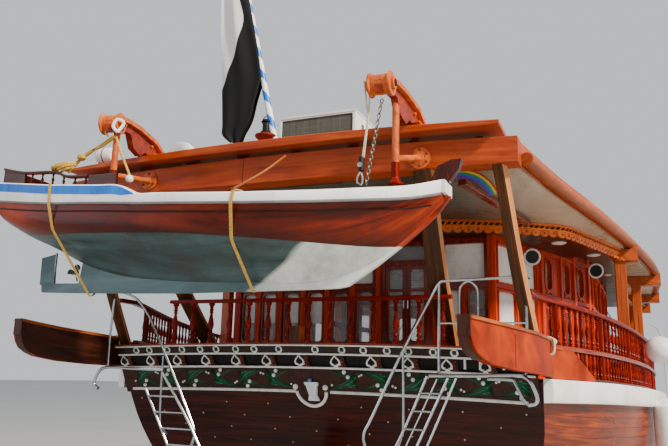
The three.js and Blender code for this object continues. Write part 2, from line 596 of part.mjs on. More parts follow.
function quarterWing(side) {
  const { ys, full, tip, inset, thick, top, tipHigh, clear } = WING_FORE;
  const fore = ys.map((y) => {
    const low = sheer(y) + BAND.up + clear;
    const taper = Math.max(0, (y - full) / (tip - full));
    return { y, x: deckHalf(y) - inset, thick, low, top: top + (low + tipHigh - top) * taper };
  });
  return loft([...WING, ...fore].map((w) => [
    [side * w.x, w.y, w.low], [side * (w.x + w.thick), w.y, w.low],
    [side * (w.x + w.thick), w.y, w.top], [side * w.x, w.y, w.top],
  ]));
}

function rakedPost(p, side) {
  const turn = radians(p.turn);
  const across = [Math.cos(turn), -Math.sin(turn)];
  const ahead = [Math.sin(turn), Math.cos(turn)];
  const ring = (z) => {
    const t = (z - p.z0) / (p.z1 - p.z0);
    const [x, y] = [p.x0 + t * (p.x1 - p.x0), p.y0 + t * (p.y1 - p.y0)];
    return [[-0.5, 0], [0.5, 0], [0.5, 1], [-0.5, 1]].map(([u, v]) => [
      side * (x + u * p.wide * across[0] + v * p.deep * ahead[0]),
      y + u * p.wide * across[1] + v * p.deep * ahead[1], z]);
  };
  return onDeck(loft([ring(POST_FOOT_Z), ring(p.z1)]));
}

const ROOF_ROWS = spread(ROOF.aft, ROOF.fore, ROOF.rows).map((y) => ({ y, half: smooth(ROOF_PLAN, 'half', y) }));
const roofHalf = (y) => linear(ROOF_ROWS, 'half', y);

function roofSlab(z0, z1, inset = 0) {
  const right = ROOF_ROWS.map((p) => [p.half - inset, p.y]);
  return floorPlate([...right, ...right.map(([x, y]) => [-x, y]).reverse()], z0, z1);
}

function archedBar({ x0, x1, y0, y1, low, top, arch }) {
  return loft(spread(x0, x1, 14).map((x) => {
    const drop = arch * (x / ARCH_SPAN) ** 2;
    return [[x, y0, low - drop * 0.3], [x, y1, low - drop * 0.3], [x, y1, top - drop], [x, y0, top - drop]];
  }));
}

const ROOF_PLANK = archedBar(PLANK);

function roofEdge(side) {
  const { radius, sides, z, clear: away } = EDGE_TUBE;
  const turns = spread(0, 2 * Math.PI, sides).slice(0, -1).map((a) => a + Math.PI / sides);
  const tube = loft(ROOF_ROWS.map((p) => turns.map((a) => [
    side * (p.half + radius + away + radius * Math.cos(a)), p.y, z + radius * Math.sin(a)])));
  const { low, top, thick, clear } = EDGE_BOARD;
  const board = strip(side, ROOF_ROWS.map((p) => p.y), (y) => {
    const x = roofHalf(y) + clear;
    return [[x, low], [x + thick, low], [x + thick, top], [x, top]];
  });
  const parts = [tube, board];
  SIDE_POST.ys.forEach((y) => {
    const half = roofHalf(y);
    const x = Math.min(half - SIDE_POST.eave, deckHalf(y) - SIDE_POST.inset);
    const s = SIDE_POST.half;
    parts.push(onDeck(box(side * (x - s), side * (x + s), y - s, y + s, sheer(y) - 0.02, SIDE_POST.top)));
    const [out, edge] = [half + POST_HEAD.out, half + POST_HEAD.edge];
    const head = [[x - POST_HEAD.inner, WALL_TOP], [x - POST_HEAD.step, POST_HEAD.low], [out, POST_HEAD.low],
      [out, POST_HEAD.top], [edge, POST_HEAD.top], [edge, WALL_TOP]];
    parts.push(loft([y - POST_HEAD.half, y + POST_HEAD.half].map((v) => head.map(([bx, bz]) => [side * bx, v, bz]))));
  });
  return unite(parts);
}

// Outline of a light in (run, height): corners eased, or an arched head.
function lightOutline([a, b], { z0, z1 }, arched = false) {
  const wide = b - a;
  const c = LIGHT_CORNER;
  if (arched) {
    return [[a, z0], [b, z0], [b, z1 - wide / 2], [b - wide * 0.15, z1 - wide * 0.15], [a + wide / 2, z1],
      [a + wide * 0.15, z1 - wide * 0.15], [a, z1 - wide / 2]];
  }
  return [[a, z0], [b, z0], [b, z1 - c], [b - c, z1], [a + c, z1], [a, z1 - c]];
}

function sideWall(side) {
  const wallX = (y) => linear(SALOON_SIDE, 'x', y);
  const wall = strip(side, SALOON_SIDE.map((p) => p.y), (y) => {
    const x = wallX(y);
    const z = deckTop(0, y) - 0.12;
    return [[x - WALL_THICK, z], [x, z], [x, WALL_TOP], [x - WALL_THICK, WALL_TOP]];
  });
  const pilasters = SIDE_PILASTERS.map((y) => {
    const x = wallX(y);
    return box(side * (x - PILASTER.buried), side * (x + PILASTER.proud), y - PILASTER.half, y + PILASTER.half,
      deckTop(0, y) - 0.12, WALL_TOP);
  });
  const cut = (light, heights, arched) => {
    const x = side * wallX((light[0] + light[1]) / 2);
    return sidePlate(lightOutline(light, heights, arched), x - 0.4, x + 0.4);
  };
  const cuts = [
    ...SIDE_LIGHTS.flatMap((light) => [cut(light, LOW_LIGHT), cut(light, HIGH_LIGHT)]),
    ...SIDE_NARROW.map((light) => cut(light, NARROW_LIGHT, true)),
  ];
  return onDeck(unite([wall, ...pilasters])).subtract(unite(cuts));
}

function acrossPlate(outline, y0, y1) {
  return loft([outline.map(([x, z]) => [x, y0, z]), outline.map(([x, z]) => [x, y1, z])]);
}

function aftWall() {
  const half = SALOON_SIDE[0].x - WALL_THICK - 0.003;
  const bottom = deckTop(0, SALOON_AFT) + 0.003;
  const y = SALOON_AFT;
  const pilaster = (top) => (x) => box(x - PILASTER.half, x + PILASTER.half, y - PILASTER.proud, y + 0.02, bottom, top);
  const waist = (x0, x1) => box(x0, x1, y - WAIST.proud, y + 0.02, WAIST.z0, WAIST.z1);
  const solid = unite([
    box(-half, half, y, y + WALL_THICK, bottom, WALL_TOP),
    ...AFT_PILASTERS.map(pilaster(WALL_TOP)), ...AFT_HALF_PILASTERS.map(pilaster(WAIST.z1)),
    waist(-half, DOOR.mid - DOOR.half - 0.07), waist(DOOR.mid + DOOR.half + 0.07, half),
  ]);
  const { mid, half: leaf, low, top, clear, lightLow, lightInset } = DOOR;
  const holes = [
    ...AFT_LOW.map((light) => lightOutline(light, LOW_LIGHT)),
    ...AFT_HIGH.map((light) => lightOutline(light, HIGH_LIGHT)),
    lightOutline([mid - leaf + lightInset, mid + leaf - lightInset], { z0: lightLow, z1: HIGH_LIGHT.z1 }),
    [[mid - leaf - clear, low - clear], [mid + leaf + clear, low - clear], [mid + leaf + clear, top + clear],
      [mid - leaf - clear, top + clear]],
  ];
  return solid.subtract(unite(holes.map((hole) => acrossPlate(hole, y - 0.1, y + 0.2))));
}

function frontWall() {
  const half = SALOON_SIDE[SALOON_SIDE.length - 1].x - WALL_THICK - 0.003;
  const y = SALOON_FORE - WALL_THICK;
  const wall = box(-half, half, y, SALOON_FORE, deckTop(0, SALOON_FORE) + 0.003, WALL_TOP);
  const lights = [...FRONT_LIGHTS, ...FRONT_LIGHTS.map(([a, b]) => [-b, -a])];
  const [x0, x1, z0, z1] = FRONT_DOORWAY;
  const holes = [...lights.map((light) => lightOutline(light, FRONT_LIGHT)), [[x0, z0], [x1, z0], [x1, z1], [x0, z1]]];
  return wall.subtract(unite(holes.map((hole) => acrossPlate(hole, y - 0.1, y + 0.2))));
}

function doorLeaf(inner) {
  const x0 = inner ? DOOR.mid - DOOR.half : DOOR.mid + LEAF.parting;
  const x1 = inner ? DOOR.mid - LEAF.parting : DOOR.mid + DOOR.half;
  const y0 = SALOON_AFT + LEAF.set;
  const y1 = y0 + LEAF.thick;
  const leaf = box(x0, x1, y0, y1, DOOR.low, DOOR.top);
  const sunk = LEAF_PANES.flatMap(([z0, z1]) => [
    box(x0 + LEAF.stile, x1 - LEAF.stile, y0 - 0.05, y0 + LEAF.sunk, z0, z1),
    box(x0 + LEAF.stile, x1 - LEAF.stile, y1 - LEAF.sunk, y1 + 0.05, z0, z1),
  ]);
  return leaf.subtract(unite(sunk));
}

// One ring of panes against the inner faces of the walls, open at the doors.
function glazing() {
  const outline = (clear) => {
    const aft = SALOON_AFT + WALL_THICK + clear;
    const fore = SALOON_FORE - WALL_THICK - clear;
    const ys = [aft, ...SALOON_SIDE.slice(1, -1).map((p) => p.y), fore];
    const right = ys.map((y) => [linear(SALOON_SIDE, 'x', y) - WALL_THICK - clear, y]);
    return [...right, ...right.map(([x, y]) => [-x, y]).reverse()];
  };
  const { clear, thick, low, top, doorClear } = GLASS;
  const within = floorPlate(outline(clear + thick), low - 0.1, top + 0.1);
  const ring = floorPlate(outline(clear), low, top).subtract(within);
  const doors = box(DOOR.mid - DOOR.half - doorClear, DOOR.mid + DOOR.half + doorClear, SALOON_AFT,
    SALOON_AFT + 0.5, low - 0.1, DOOR.top + 0.02);
  const [x0, x1, , z1] = FRONT_DOORWAY;
  const front = box(x0 - doorClear, x1 + doorClear, SALOON_FORE - 0.5, SALOON_FORE, low - 0.1, z1 + doorClear);
  return ring.subtract(doors).subtract(front);
}

// Scalloped cornice with the ceiling it carries out from the saloon walls.
function cornice() {
  const left = CORNICE.map((p) => ({ x: -p.x, y: p.y })).reverse();
  const path = [...left, CORNICE_MIDDLE, ...CORNICE];
  let run = 0;
  const table = path.map((p, i) => {
    run += i ? Math.hypot(p.x - path[i - 1].x, p.y - path[i - 1].y) : 0;
    return { ...p, run };
  });
  const point = (s) => [linear(table, 'x', s, 'run'), linear(table, 'y', s, 'run')];
  const outward = (s) => {
    const [a, b] = [point(s - 0.15), point(s + 0.15)];
    const d = Math.hypot(b[0] - a[0], b[1] - a[1]);
    return [(b[1] - a[1]) / d, -(b[0] - a[0]) / d];
  };
  const { low, scallop, lobes, top, thick, head } = CORNICE_SIZE;
  const board = loft(spread(0, run, 2 * lobes).map((s, i) => {
    const [x, y] = point(s);
    const [u, v] = outward(s);
    const z = low + (i % 2 ? 0 : scallop);
    return [[x, y, z], [x + u * thick, y + v * thick, z], [x + u * head, y + v * head, top], [x, y, top]];
  }));
  const edge = table.map((p) => {
    const [u, v] = outward(p.run);
    return [p.x + u * CEILING.tuck, p.y + v * CEILING.tuck];
  });
  const end = path[path.length - 1].y;
  const wall = SALOON_SIDE.filter((p) => p.y < end).map((p) => [p.x + CEILING.wallClear, p.y]).reverse();
  wall.unshift([linear(SALOON_SIDE, 'x', end) + CEILING.wallClear, end]);
  wall[wall.length - 1][1] = SALOON_AFT - CEILING.wallClear;
  const ceiling = floorPlate([...edge, ...wall, ...wall.map(([x, y]) => [-x, y]).reverse()], CEILING.low, CEILING.top);
  return unite([board, ceiling]);
}

function davit(name, side) {
  const place = (manifold) => manifold.rotate([0, 0, DAVIT.turn[name]]).translate([side * DAVIT.x, DAVIT.y, 0]);
  const [flat, head] = [DAVIT_FLANGE, DAVIT_HEAD];
  const arm = unite([
    sidePlate(DAVIT_ARM.map(([d, z]) => [-d, z]), -DAVIT.half, DAVIT.half),
    box(-flat.half, flat.half, -flat.to, -flat.from, flat.low, flat.top),
    rod([-head.half, -head.at, head.z], [head.half, -head.at, head.z], head.radius, 12),
  ]);
  const turn = radians(DAVIT.turn[name]);
  const { top, radius, flange, flangeThick, clear } = STRUT;
  const { at, low, braceLow, braceTop, braceX } = STRUT_PLACE[name];
  const x = side * DAVIT.x + at * Math.sin(turn);
  const y = DAVIT.y - at * Math.cos(turn);
  const face = BEAM.y0 - clear;
  return unite([
    place(arm).subtract(ROOF_PLANK.translate([0, 0, GAP])),
    rod([x, y, low], [x, y, top], radius, 8),
    rod([x, y, braceLow], [braceX, face - 0.02, braceTop], radius * 0.9, 8),
    rod([braceX, face - flangeThick, braceTop], [braceX, face, braceTop], flange, 10),
  ]);
}

const boatGirth = (row) => girth([
  [row.half, row.top], [row.side, row.rail], [row.turn, row.zTurn], [row.bilge, row.zBilge],
  [BOAT_KEEL.inner, row.zBottom],
], BOAT_GIRTH_STEPS);

function boatRing(row, inset, lift) {
  const half = boatGirth(row).map(([y, z]) => [Math.max(y - inset, 0.01), z + lift]);
  return [...half, ...half.map(([y, z]) => [-y, z]).reverse()].map(([y, z]) => [row.y, BOAT_Y + y, z]);
}

function boatHull() {
  const outer = loft(BOAT.map((row) => boatRing(row, 0, 0)));
  const inner = loft(BOAT.slice(1, -1).map((row) => boatRing(row, BOAT_WALL.inset, BOAT_WALL.floor)));
  return outer.subtract(inner);
}

function boatRail() {
  const { clear, out, drop, end } = BOAT_RUB;
  const run = (s) => loft(BOAT.map((row) => {
    const y = BOAT_Y + s * (row.half + clear);
    const z = row.rail + drop;
    return [[row.y, y, z], [row.y, y + s * out, z], [row.y, y + s * out, row.top], [row.y, y, row.top]];
  }));
  const across = (row, x0, x1) => {
    const wide = row.half + clear + out;
    return box(x0, x1, BOAT_Y - wide, BOAT_Y + wide, row.rail + drop, row.top);
  };
  const corner = (row, x0, x1, s) => {
    const y = BOAT_Y + s * (row.half + clear);
    return box(x0, x1, y, y + s * out, row.rail + drop, row.top);
  };
  const [stern, stem] = [BOAT[0], BOAT[BOAT.length - 1]];
  return unite([
    run(1), run(-1), across(stern, stern.y - end, stern.y - 0.003), across(stem, stem.y + 0.003, stem.y + end),
    ...[-1, 1].flatMap((s) => [
      corner(stern, stern.y - 0.02, stern.y + 0.003, s), corner(stem, stem.y - 0.003, stem.y + 0.02, s),
    ]),
  ]);
}

function boatKeel() {
  const under = BOAT.slice(2).map((row) => [row.y, row.zBottom - 0.0012]);
  const outline = [...under, ...BOAT_KEEL_LINE];
  return loft([-BOAT_KEEL.half, BOAT_KEEL.half].map((y) => outline.map(([x, z]) => [x, BOAT_Y + y, z])));
}

function boatRudder() {
  const { x0, x1, low, top, stockX, stockTop } = BOAT_RUDDER;
  return unite([
    box(x0, x1, BOAT_Y - 0.02, BOAT_Y + 0.02, low, top),
    rod([stockX, BOAT_Y, top - 0.06], [stockX, BOAT_Y, stockTop], 0.02, 8),
  ]);
}

function boatTaffrail() {
  const { aft, fore, z, high, inset, half, posts } = BOAT_TAFFRAIL;
  const line = (x) => smooth(BOAT, 'half', x) - inset;
  const run = (s) => loft(spread(aft, fore, 4).map((x) => {
    const y = BOAT_Y + s * line(x);
    return [[x, y - half, z], [x, y + half, z], [x, y + half, z + high], [x, y - half, z + high]];
  }));
  const reach = line(aft) + half;
  const parts = [run(1), run(-1), box(aft - half, aft + half, BOAT_Y - reach, BOAT_Y + reach, z, z + high)];
  spread(aft + 0.04, fore - 0.04, posts - 1).forEach((x) => [-1, 1].forEach((s) => {
    const y = BOAT_Y + s * line(x);
    parts.push(box(x - 0.02, x + 0.02, y - 0.02, y + 0.02, linear(BOAT, 'top', x) + 0.008, z + 0.02));
  }));
  return unite(parts);
}

function ladder(s) {
  const { y, inner, top, outX, inX, railX, footX, footZ, sweep, wide, tube, treads, treadHalf } = LADDER;
  const foot = (x) => [s * x, y - sweep, footZ];
  const parts = [
    bentRod([[s * LADDER.cornerX, y, LADDER.cornerZ], [s * outX, y, top], [s * inX, y, top], foot(footX)], tube),
    bentRod([[s * (inX + wide), y, top], foot(footX + wide)], tube),
    ...[outX, railX].map((x) => rod([s * x, y, top], [s * x, inner, top], tube)),
    box(s * inX, s * outX, y, LADDER.plankEnd, top + LADDER.plank[0], top + LADDER.plank[1]),
  ];
  spread(0, 1, treads + 1).slice(1, -1).forEach((t) => {
    const x = s * (inX + (footX - inX) * t);
    const z = top + (footZ - top) * t;
    const at = y - sweep * t;
    parts.push(box(x, x + s * wide, at - LADDER.treadAft, at + LADDER.treadFore, z - treadHalf, z + treadHalf));
  });
  return unite(parts);
}

function mastRod(extra = 0) {
  return rod(MAST.foot, MAST.head, MAST.r0 + extra, MAST.sides, MAST.r1 + extra);
}

function yard(extra = 0) {
  const [aft, middle, fore] = YARD;
  return unite([
    rod(aft, middle, YARD_RADIUS.end + extra, 10, YARD_RADIUS.middle + extra),
    rod(middle, fore, YARD_RADIUS.middle + extra, 10, YARD_RADIUS.end + extra),
  ]);
}

// Forestay and shrouds with the masthead ring that joins them.
function mastStays() {
  const onMast = (t) => MAST.foot.map((v, i) => v + t * (MAST.head[i] - v));
  const { radius, ring, ringFrom, ringTo, start, shrouds, stem, eyeHalf, eyeHigh, clear } = STAYS;
  const band = rod(onMast(ringFrom), onMast(ringTo), ring, MAST.sides).subtract(mastRod(0.003));
  const [, y, z] = onMast((ringFrom + ringTo) / 2);
  const eyeZ = stem[2] + 0.02;
  const parts = [band, rod([0, y + start, z], [stem[0], stem[1], eyeZ + 0.04], radius),
    box(-eyeHalf, eyeHalf, stem[1] - eyeHalf, stem[1] + eyeHalf, eyeZ, eyeZ + eyeHalf)];
  shrouds.forEach((foot, i) => [-1, 1].forEach((s) => {
    const x = s * (deckHalf(foot) - BOW_BULWARK.inset);
    const low = sheer(foot) + BOW_BULWARK.up - BOW_BULWARK.capLap + BOW_BULWARK.capHigh + clear;
    parts.push(box(x - eyeHalf, x + eyeHalf, foot - eyeHalf, foot + eyeHalf, low, low + eyeHigh));
    parts.push(rod([s * start, y + (i - 1) * 0.05, z - 0.02], [x, foot, low + eyeHigh - 0.04], radius));
  }));
  return unite(parts);
}

// Timber crutch that holds the lowered yard.
function crutch(y, base, trim) {
  const [x] = YARD[0];
  const z = linear(YARD.map((p) => ({ y: p[1], z: p[2] })), 'z', y);
  const { foot, head, leg, cradle, deep, under, over, tie } = CRUTCH;
  const tieHalf = foot - (foot - head) * (tie / (z - under - base)) + leg;
  return trim(unite([
    ...[-1, 1].map((s) => rod([x + s * foot, y, base - 0.10], [x + s * head, y, z - under + 0.08], leg, 4)),
    box(x - cradle, x + cradle, y - deep, y + deep, z - under, z + over),
    box(x - tieHalf, x + tieHalf, y - deep * 0.6, y + deep * 0.6, base + tie - 0.05, base + tie + 0.05),
  ])).subtract(yard(0.003));
}

function bitts() {
  const base = deckTop(0, BITTS.y);
  const { y, x, half, high, foot, bar, barLow, barHigh } = BITTS;
  return onDeck(unite([
    ...[-1, 1].map((s) => box(s * x - half, s * x + half, y - half, y + half, base - foot, base + high)),
    box(-bar, bar, y - half * 0.6, y + half * 0.6, base + barLow, base + barLow + barHigh),
  ]));
}

function satelliteDome() {
  const { x, y, clear, sides, profile } = DOME;
  return turned(profile.map(([r, z]) => [r, ROOF.top + clear + z]), x, y, sides);
}

const VARNISH = 0x8a3b17;
const REDWOOD = 0x8f1f10;
const DARKWOOD = 0x4a2412;
const TERRACOTTA = 0xc2602f;
const ORANGE = 0xb4501f;
const SPAR = 0xa5642c;
const BANDWHITE = 0xf2f2ee;

const PIECES = [];
function piece(name, manifold, colour, roughness = 0.4, metalness = 0) {
  PIECES.push({ name, manifold, colour, roughness, metalness });
}

piece('hull_planking', HULL, 0x6e3116, 0.35);
piece('keel_and_stem', keelAndStem(), DARKWOOD, 0.5);
piece('main_deck', DECK, 0xa9794a, 0.6);
piece('stern_frieze', sternFrieze(), 0x4d2414);
piece('stern_balustrade', sternBalustrade(), REDWOOD, 0.3);
piece('rudder', rudder(), DARKWOOD, 0.5);
piece('propeller', screw([0, SCREW.y, SCREW.z], 'y', SCREW, 4), 0xa08a45, 0.35, 0.8);
piece('roof_deck', roofSlab(ROOF.under + ROOF.soffit + GAP, ROOF.top), 0x9a8466, 0.8);
piece('roof_soffit', roofSlab(ROOF.under, ROOF.under + ROOF.soffit, 0.02), 0xd9d0b8, 0.7);
piece('stern_roof_beam', archedBar(BEAM), TERRACOTTA);
piece('roof_plank', ROOF_PLANK, TERRACOTTA);
piece('roof_cornice', cornice(), ORANGE);
piece('saloon_wall_aft', aftWall(), VARNISH, 0.3);
piece('saloon_wall_front', frontWall(), VARNISH, 0.3);
piece('aft_door_inner_leaf', doorLeaf(true), VARNISH, 0.3);
piece('aft_door_outer_leaf', doorLeaf(false), VARNISH, 0.3);
piece('saloon_glazing', glazing(), 0xa9c2cc, 0.1);
[['starboard', 1], ['port', -1]].forEach(([name, side]) => {
  piece(`rubbing_band_${name}`, rubbingBand(side), BANDWHITE, 0.35);
  piece(`bulwark_${name}`, bulwark(side), REDWOOD, 0.3);
  piece(`quarter_wing_${name}`, quarterWing(side), ORANGE);
  piece(`outer_raked_post_${name}`, rakedPost(OUTER_POST, side), TERRACOTTA);
  piece(`inner_raked_post_${name}`, rakedPost(INNER_POST, side), TERRACOTTA);
  piece(`roof_edge_${name}`, roofEdge(side), TERRACOTTA);
  piece(`saloon_wall_${name}`, sideWall(side), VARNISH, 0.3);
  piece(`davit_${name}`, davit(name, side), TERRACOTTA);
  piece(`boarding_ladder_${name}`, ladder(side), 0xc9ccce, 0.25, 0.9);
});
piece('boat_hull', boatHull(), 0x7a2c1a);
piece('boat_rubbing_rail', boatRail(), BANDWHITE, 0.35);
piece('boat_keel', boatKeel(), 0x9fb4b6, 0.5);
piece('boat_rudder', boatRudder(), 0x8aa9b2, 0.5);
piece('boat_propeller', screw([BOAT_SCREW.x, BOAT_Y, BOAT_SCREW.z], 'x', BOAT_SCREW, 3), 0x6d7a78, 0.4, 0.6);
piece('boat_stern_rail', boatTaffrail(), 0x5b1710);
piece('air_conditioner', box(AIR_UNIT.x0, AIR_UNIT.x1, AIR_UNIT.y0, AIR_UNIT.y1, ROOF.top + AIR_UNIT.clear,
  AIR_UNIT.top), 0xe9e9e6, 0.5);
piece('satellite_dome', satelliteDome(), 0xf3f3f1, 0.35);
piece('flagstaff', rod(FLAGSTAFF.foot, FLAGSTAFF.head, FLAGSTAFF.radius, 10), 0xd9dde2);
piece('flag', box(FLAG.x0, FLAG.x1, FLAG.y0, FLAG.y1, FLAG.low, FLAG.top), 0x202022, 0.9);
piece('mast', onDeck(mastRod()), SPAR, 0.45);
piece('mast_stays', mastStays(), 0x6b6254, 0.8);
piece('lateen_yard', yard(), SPAR, 0.5);
piece('yard_crutch_aft', crutch(CRUTCH_Y.roof, ROOF.top + GAP, (legs) => legs.subtract(
  box(-1, 2, CRUTCH_Y.roof - 1, CRUTCH_Y.roof + 1, ROOF.under, ROOF.top + GAP))), DARKWOOD, 0.5);
piece('yard_crutch_fore', crutch(CRUTCH_Y.foredeck, deckTop(YARD[0][0], CRUTCH_Y.foredeck), onDeck), DARKWOOD, 0.5);
piece('mooring_bitts', bitts(), DARKWOOD, 0.5);

const group = new THREE.Group();
PIECES.forEach(({ name, manifold, colour, roughness, metalness }) => {
  const geometry = geometryOf(manifold);
  geometry.scale(MM_PER_M, MM_PER_M, MM_PER_M);
  const flat = geometry.toNonIndexed();
  flat.computeVertexNormals();
  const mesh = new THREE.Mesh(flat, new THREE.MeshStandardMaterial({ color: colour, roughness, metalness }));
  mesh.name = name;
  group.add(mesh);
});

export default group;
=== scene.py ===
import math
import random
from bisect import bisect_right

import bmesh
import bpy
from mathutils import Matrix, Vector
from mathutils.geometry import tessellate_polygon


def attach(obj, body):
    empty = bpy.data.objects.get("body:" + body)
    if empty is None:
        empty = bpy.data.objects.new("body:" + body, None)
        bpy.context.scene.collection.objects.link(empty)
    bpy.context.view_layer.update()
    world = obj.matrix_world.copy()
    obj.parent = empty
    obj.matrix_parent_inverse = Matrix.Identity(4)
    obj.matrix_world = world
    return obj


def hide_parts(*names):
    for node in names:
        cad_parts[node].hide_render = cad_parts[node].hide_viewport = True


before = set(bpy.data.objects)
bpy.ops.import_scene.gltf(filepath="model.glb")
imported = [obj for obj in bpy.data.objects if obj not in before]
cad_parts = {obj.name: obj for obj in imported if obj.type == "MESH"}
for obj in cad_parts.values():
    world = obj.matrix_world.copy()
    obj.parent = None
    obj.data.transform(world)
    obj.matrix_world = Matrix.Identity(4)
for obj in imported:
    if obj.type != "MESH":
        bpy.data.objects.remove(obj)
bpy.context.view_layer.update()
RNG = random.Random(11)
SIDES = {"starboard": 1, "port": -1}
X, Y, Z = Vector((1, 0, 0)), Vector((0, 1, 0)), Vector((0, 0, 1))


def named_rows(keys, rows):
    """Rows of numbers as dictionaries with the keys' names."""
    return [dict(zip(keys, row)) for row in rows]


# Hull lines, the same rows as the CAD part: one row a station, in metres.
COLUMNS = ("y", "sheer", "deck", "side", "water", "zWater", "bilge", "zBilge", "zBottom")
STATIONS = named_rows(COLUMNS, (
    (-11.0, 2.91, 4.33, 4.18, 3.70, 0.35, 1.95, -0.42, -0.82),
    (-9.8, 2.87, 4.64, 4.53, 4.10, 0.15, 2.50, -0.80, -1.10),
    (-8.2, 2.82, 4.92, 4.82, 4.45, 0.10, 3.00, -1.00, -1.32),
    (-6.0, 2.76, 5.12, 5.04, 4.75, 0.10, 3.45, -1.15, -1.50),
    (-3.0, 2.70, 5.24, 5.16, 4.92, 0.10, 3.70, -1.22, -1.58),
    (0.0, 2.68, 5.22, 5.12, 4.86, 0.10, 3.60, -1.22, -1.60),
    (3.0, 2.74, 5.02, 4.84, 4.45, 0.10, 3.15, -1.18, -1.58),
    (6.0, 2.92, 4.55, 4.22, 3.60, 0.10, 2.35, -1.10, -1.52),
    (8.5, 3.15, 3.85, 3.35, 2.50, 0.12, 1.45, -0.98, -1.42),
    (10.5, 3.42, 3.05, 2.35, 1.30, 0.30, 0.70, -0.55, -0.85),
    (12.2, 3.70, 2.20, 1.40, 0.70, 1.30, 0.40, 0.85, 0.60),
    (13.6, 3.98, 1.35, 0.80, 0.48, 2.50, 0.30, 2.12, 1.90),
    (14.9, 4.28, 0.42, 0.36, 0.30, 3.70, 0.23, 3.50, 3.30),
    (15.35, 4.40, 0.20, 0.19, 0.18, 4.20, 0.17, 4.12, 4.05),
))
TRANSOM = dict(zip(COLUMNS[1:], (2.96, 3.50, 3.42, 2.85, 0.90, 1.20, 0.10, -0.25)))
KEEL_HALF = 0.16
DECK_CAMBER, DECK_THICK = 0.07, 0.051
TRANSOM_Y, TRANSOM_Z, TRANSOM_RAKE = -13.5, 3.45, 0.53


def transom_y(z):
    return TRANSOM_Y - TRANSOM_RAKE * (z - TRANSOM_Z)


TRANSOM["y"] = transom_y(TRANSOM["sheer"])
DECK_LINE = [TRANSOM] + STATIONS
TOP_RAIL_UP = named_rows(("y", "up"), ((-13.2, 1.22), (-9.0, 1.10), (-4.0, 1.04), (16.0, 1.04)))
ROOF_AFT, ROOF_FORE = -14.62, 3.2
ROOF_PLAN = named_rows(("y", "half"), (
    (ROOF_AFT, 3.46), (-13.0, 3.74), (-11.0, 4.16), (-8.3, 4.66), (-6.0, 5.02), (-4.0, 5.22), (-1.0, 5.30),
    (ROOF_FORE, 5.10)))


def along(rows, key, y, at="y"):
    """A column's value on the smooth curve through the table's rows."""
    places = [row[at] for row in rows]
    y = min(max(y, places[0]), places[-1])
    i = min(max(bisect_right(places, y) - 1, 0), len(rows) - 2)

    def slope(k):
        if k == 0 or k == len(rows) - 1:
            a, b = (0, 1) if k == 0 else (k - 1, k)
            return (rows[b][key] - rows[a][key]) / (places[b] - places[a])
        before, after = places[k] - places[k - 1], places[k + 1] - places[k]
        left = (rows[k][key] - rows[k - 1][key]) / before
        right = (rows[k + 1][key] - rows[k][key]) / after
        return (left * after + right * before) / (before + after)

    step = places[i + 1] - places[i]
    t = (y - places[i]) / step
    return ((2 * t ** 3 - 3 * t ** 2 + 1) * rows[i][key] + (t ** 3 - 2 * t ** 2 + t) * step * slope(i)
            + (3 * t ** 2 - 2 * t ** 3) * rows[i + 1][key] + (t ** 3 - t ** 2) * step * slope(i + 1))


def deck_half(y):
    return along(DECK_LINE, "deck", y)


def sheer(y):
    return along(DECK_LINE, "sheer", y)


def rail_top(y):
    return sheer(y) + along(TOP_RAIL_UP, "up", y)


def deck_top(x, y):
    return sheer(y) + DECK_CAMBER * (1 - abs(x) / deck_half(y)) + DECK_THICK


def roof_half(y):
    return along(ROOF_PLAN, "half", y)


def steps(start, end, count):
    return [start + (end - start) * i / count for i in range(count + 1)]


def angles(count, shift=0.0):
    """Even angles round a circle, turned on by a share of one step."""
    return [2 * math.pi * (k + shift) / count for k in range(count)]


def oblong(u0, u1, v0, v1):
    """Corners of a rectangle, in order round it."""
    return ((u0, v0), (u1, v0), (u1, v1), (u0, v1))


def grid_faces(rows, n, turn=1, closed=False):
    """Faces between rows of n corners each; turn -1 faces them the other way."""
    return [(r * n + i, r * n + (i + 1) % n, (r + 1) * n + (i + 1) % n, (r + 1) * n + i)[::turn]
            for r in range(rows - 1) for i in range(n if closed else n - 1)]


def rgb(code):
    """A colour code of the screen as linear red, green, blue and a full alpha."""
    values = [int(code[i:i + 2], 16) / 255 for i in (0, 2, 4)]
    return [v / 12.92 if v < 0.04045 else ((v + 0.055) / 1.055) ** 2.4 for v in values] + [1.0]


# Procedural finishes. RAMP: where the darkest colour lies in the noise, and how far on the lightest.
RAMP_START, RAMP_SPAN = 0.32, 0.36
COAT_ROUGH = 0.12
SEAM_INK, SEAM_SHARE, SEAM_SINK = "120a06", 0.75, -1.6
BOARD_SPREAD, BOARD_LEAST = 0.34, 0.80
BLOT_START, BLOT_END = 0.42, 0.72
GLOSS_START, GLOSS_END, LEAST_ROUGH = 0.3, 0.7, 0.02


def add_node(tree, kind, inputs=None, **settings):
    made = tree.nodes.new("ShaderNode" + kind)
    for key, value in settings.items():
        setattr(made, key, value)
    for key, value in (inputs or {}).items():
        if isinstance(value, bpy.types.NodeSocket):
            tree.links.new(value, made.inputs[key])
        else:
            made.inputs[key].default_value = value
    return made


def maths(tree, operation, *values):
    return add_node(tree, "Math", dict(enumerate(values)), operation=operation).outputs[0]


def mix(tree, factor, a, b, blend="MIX"):
    return add_node(tree, "Mix", {0: factor, 6: a, 7: b}, data_type="RGBA", blend_type=blend).outputs[2]


def shaded(tree, colour, level):
    """Colour times a grey level."""
    grey = add_node(tree, "CombineColor", {0: level, 1: level, 2: level}).outputs[0]
    return mix(tree, 1.0, colour, grey, "MULTIPLY")


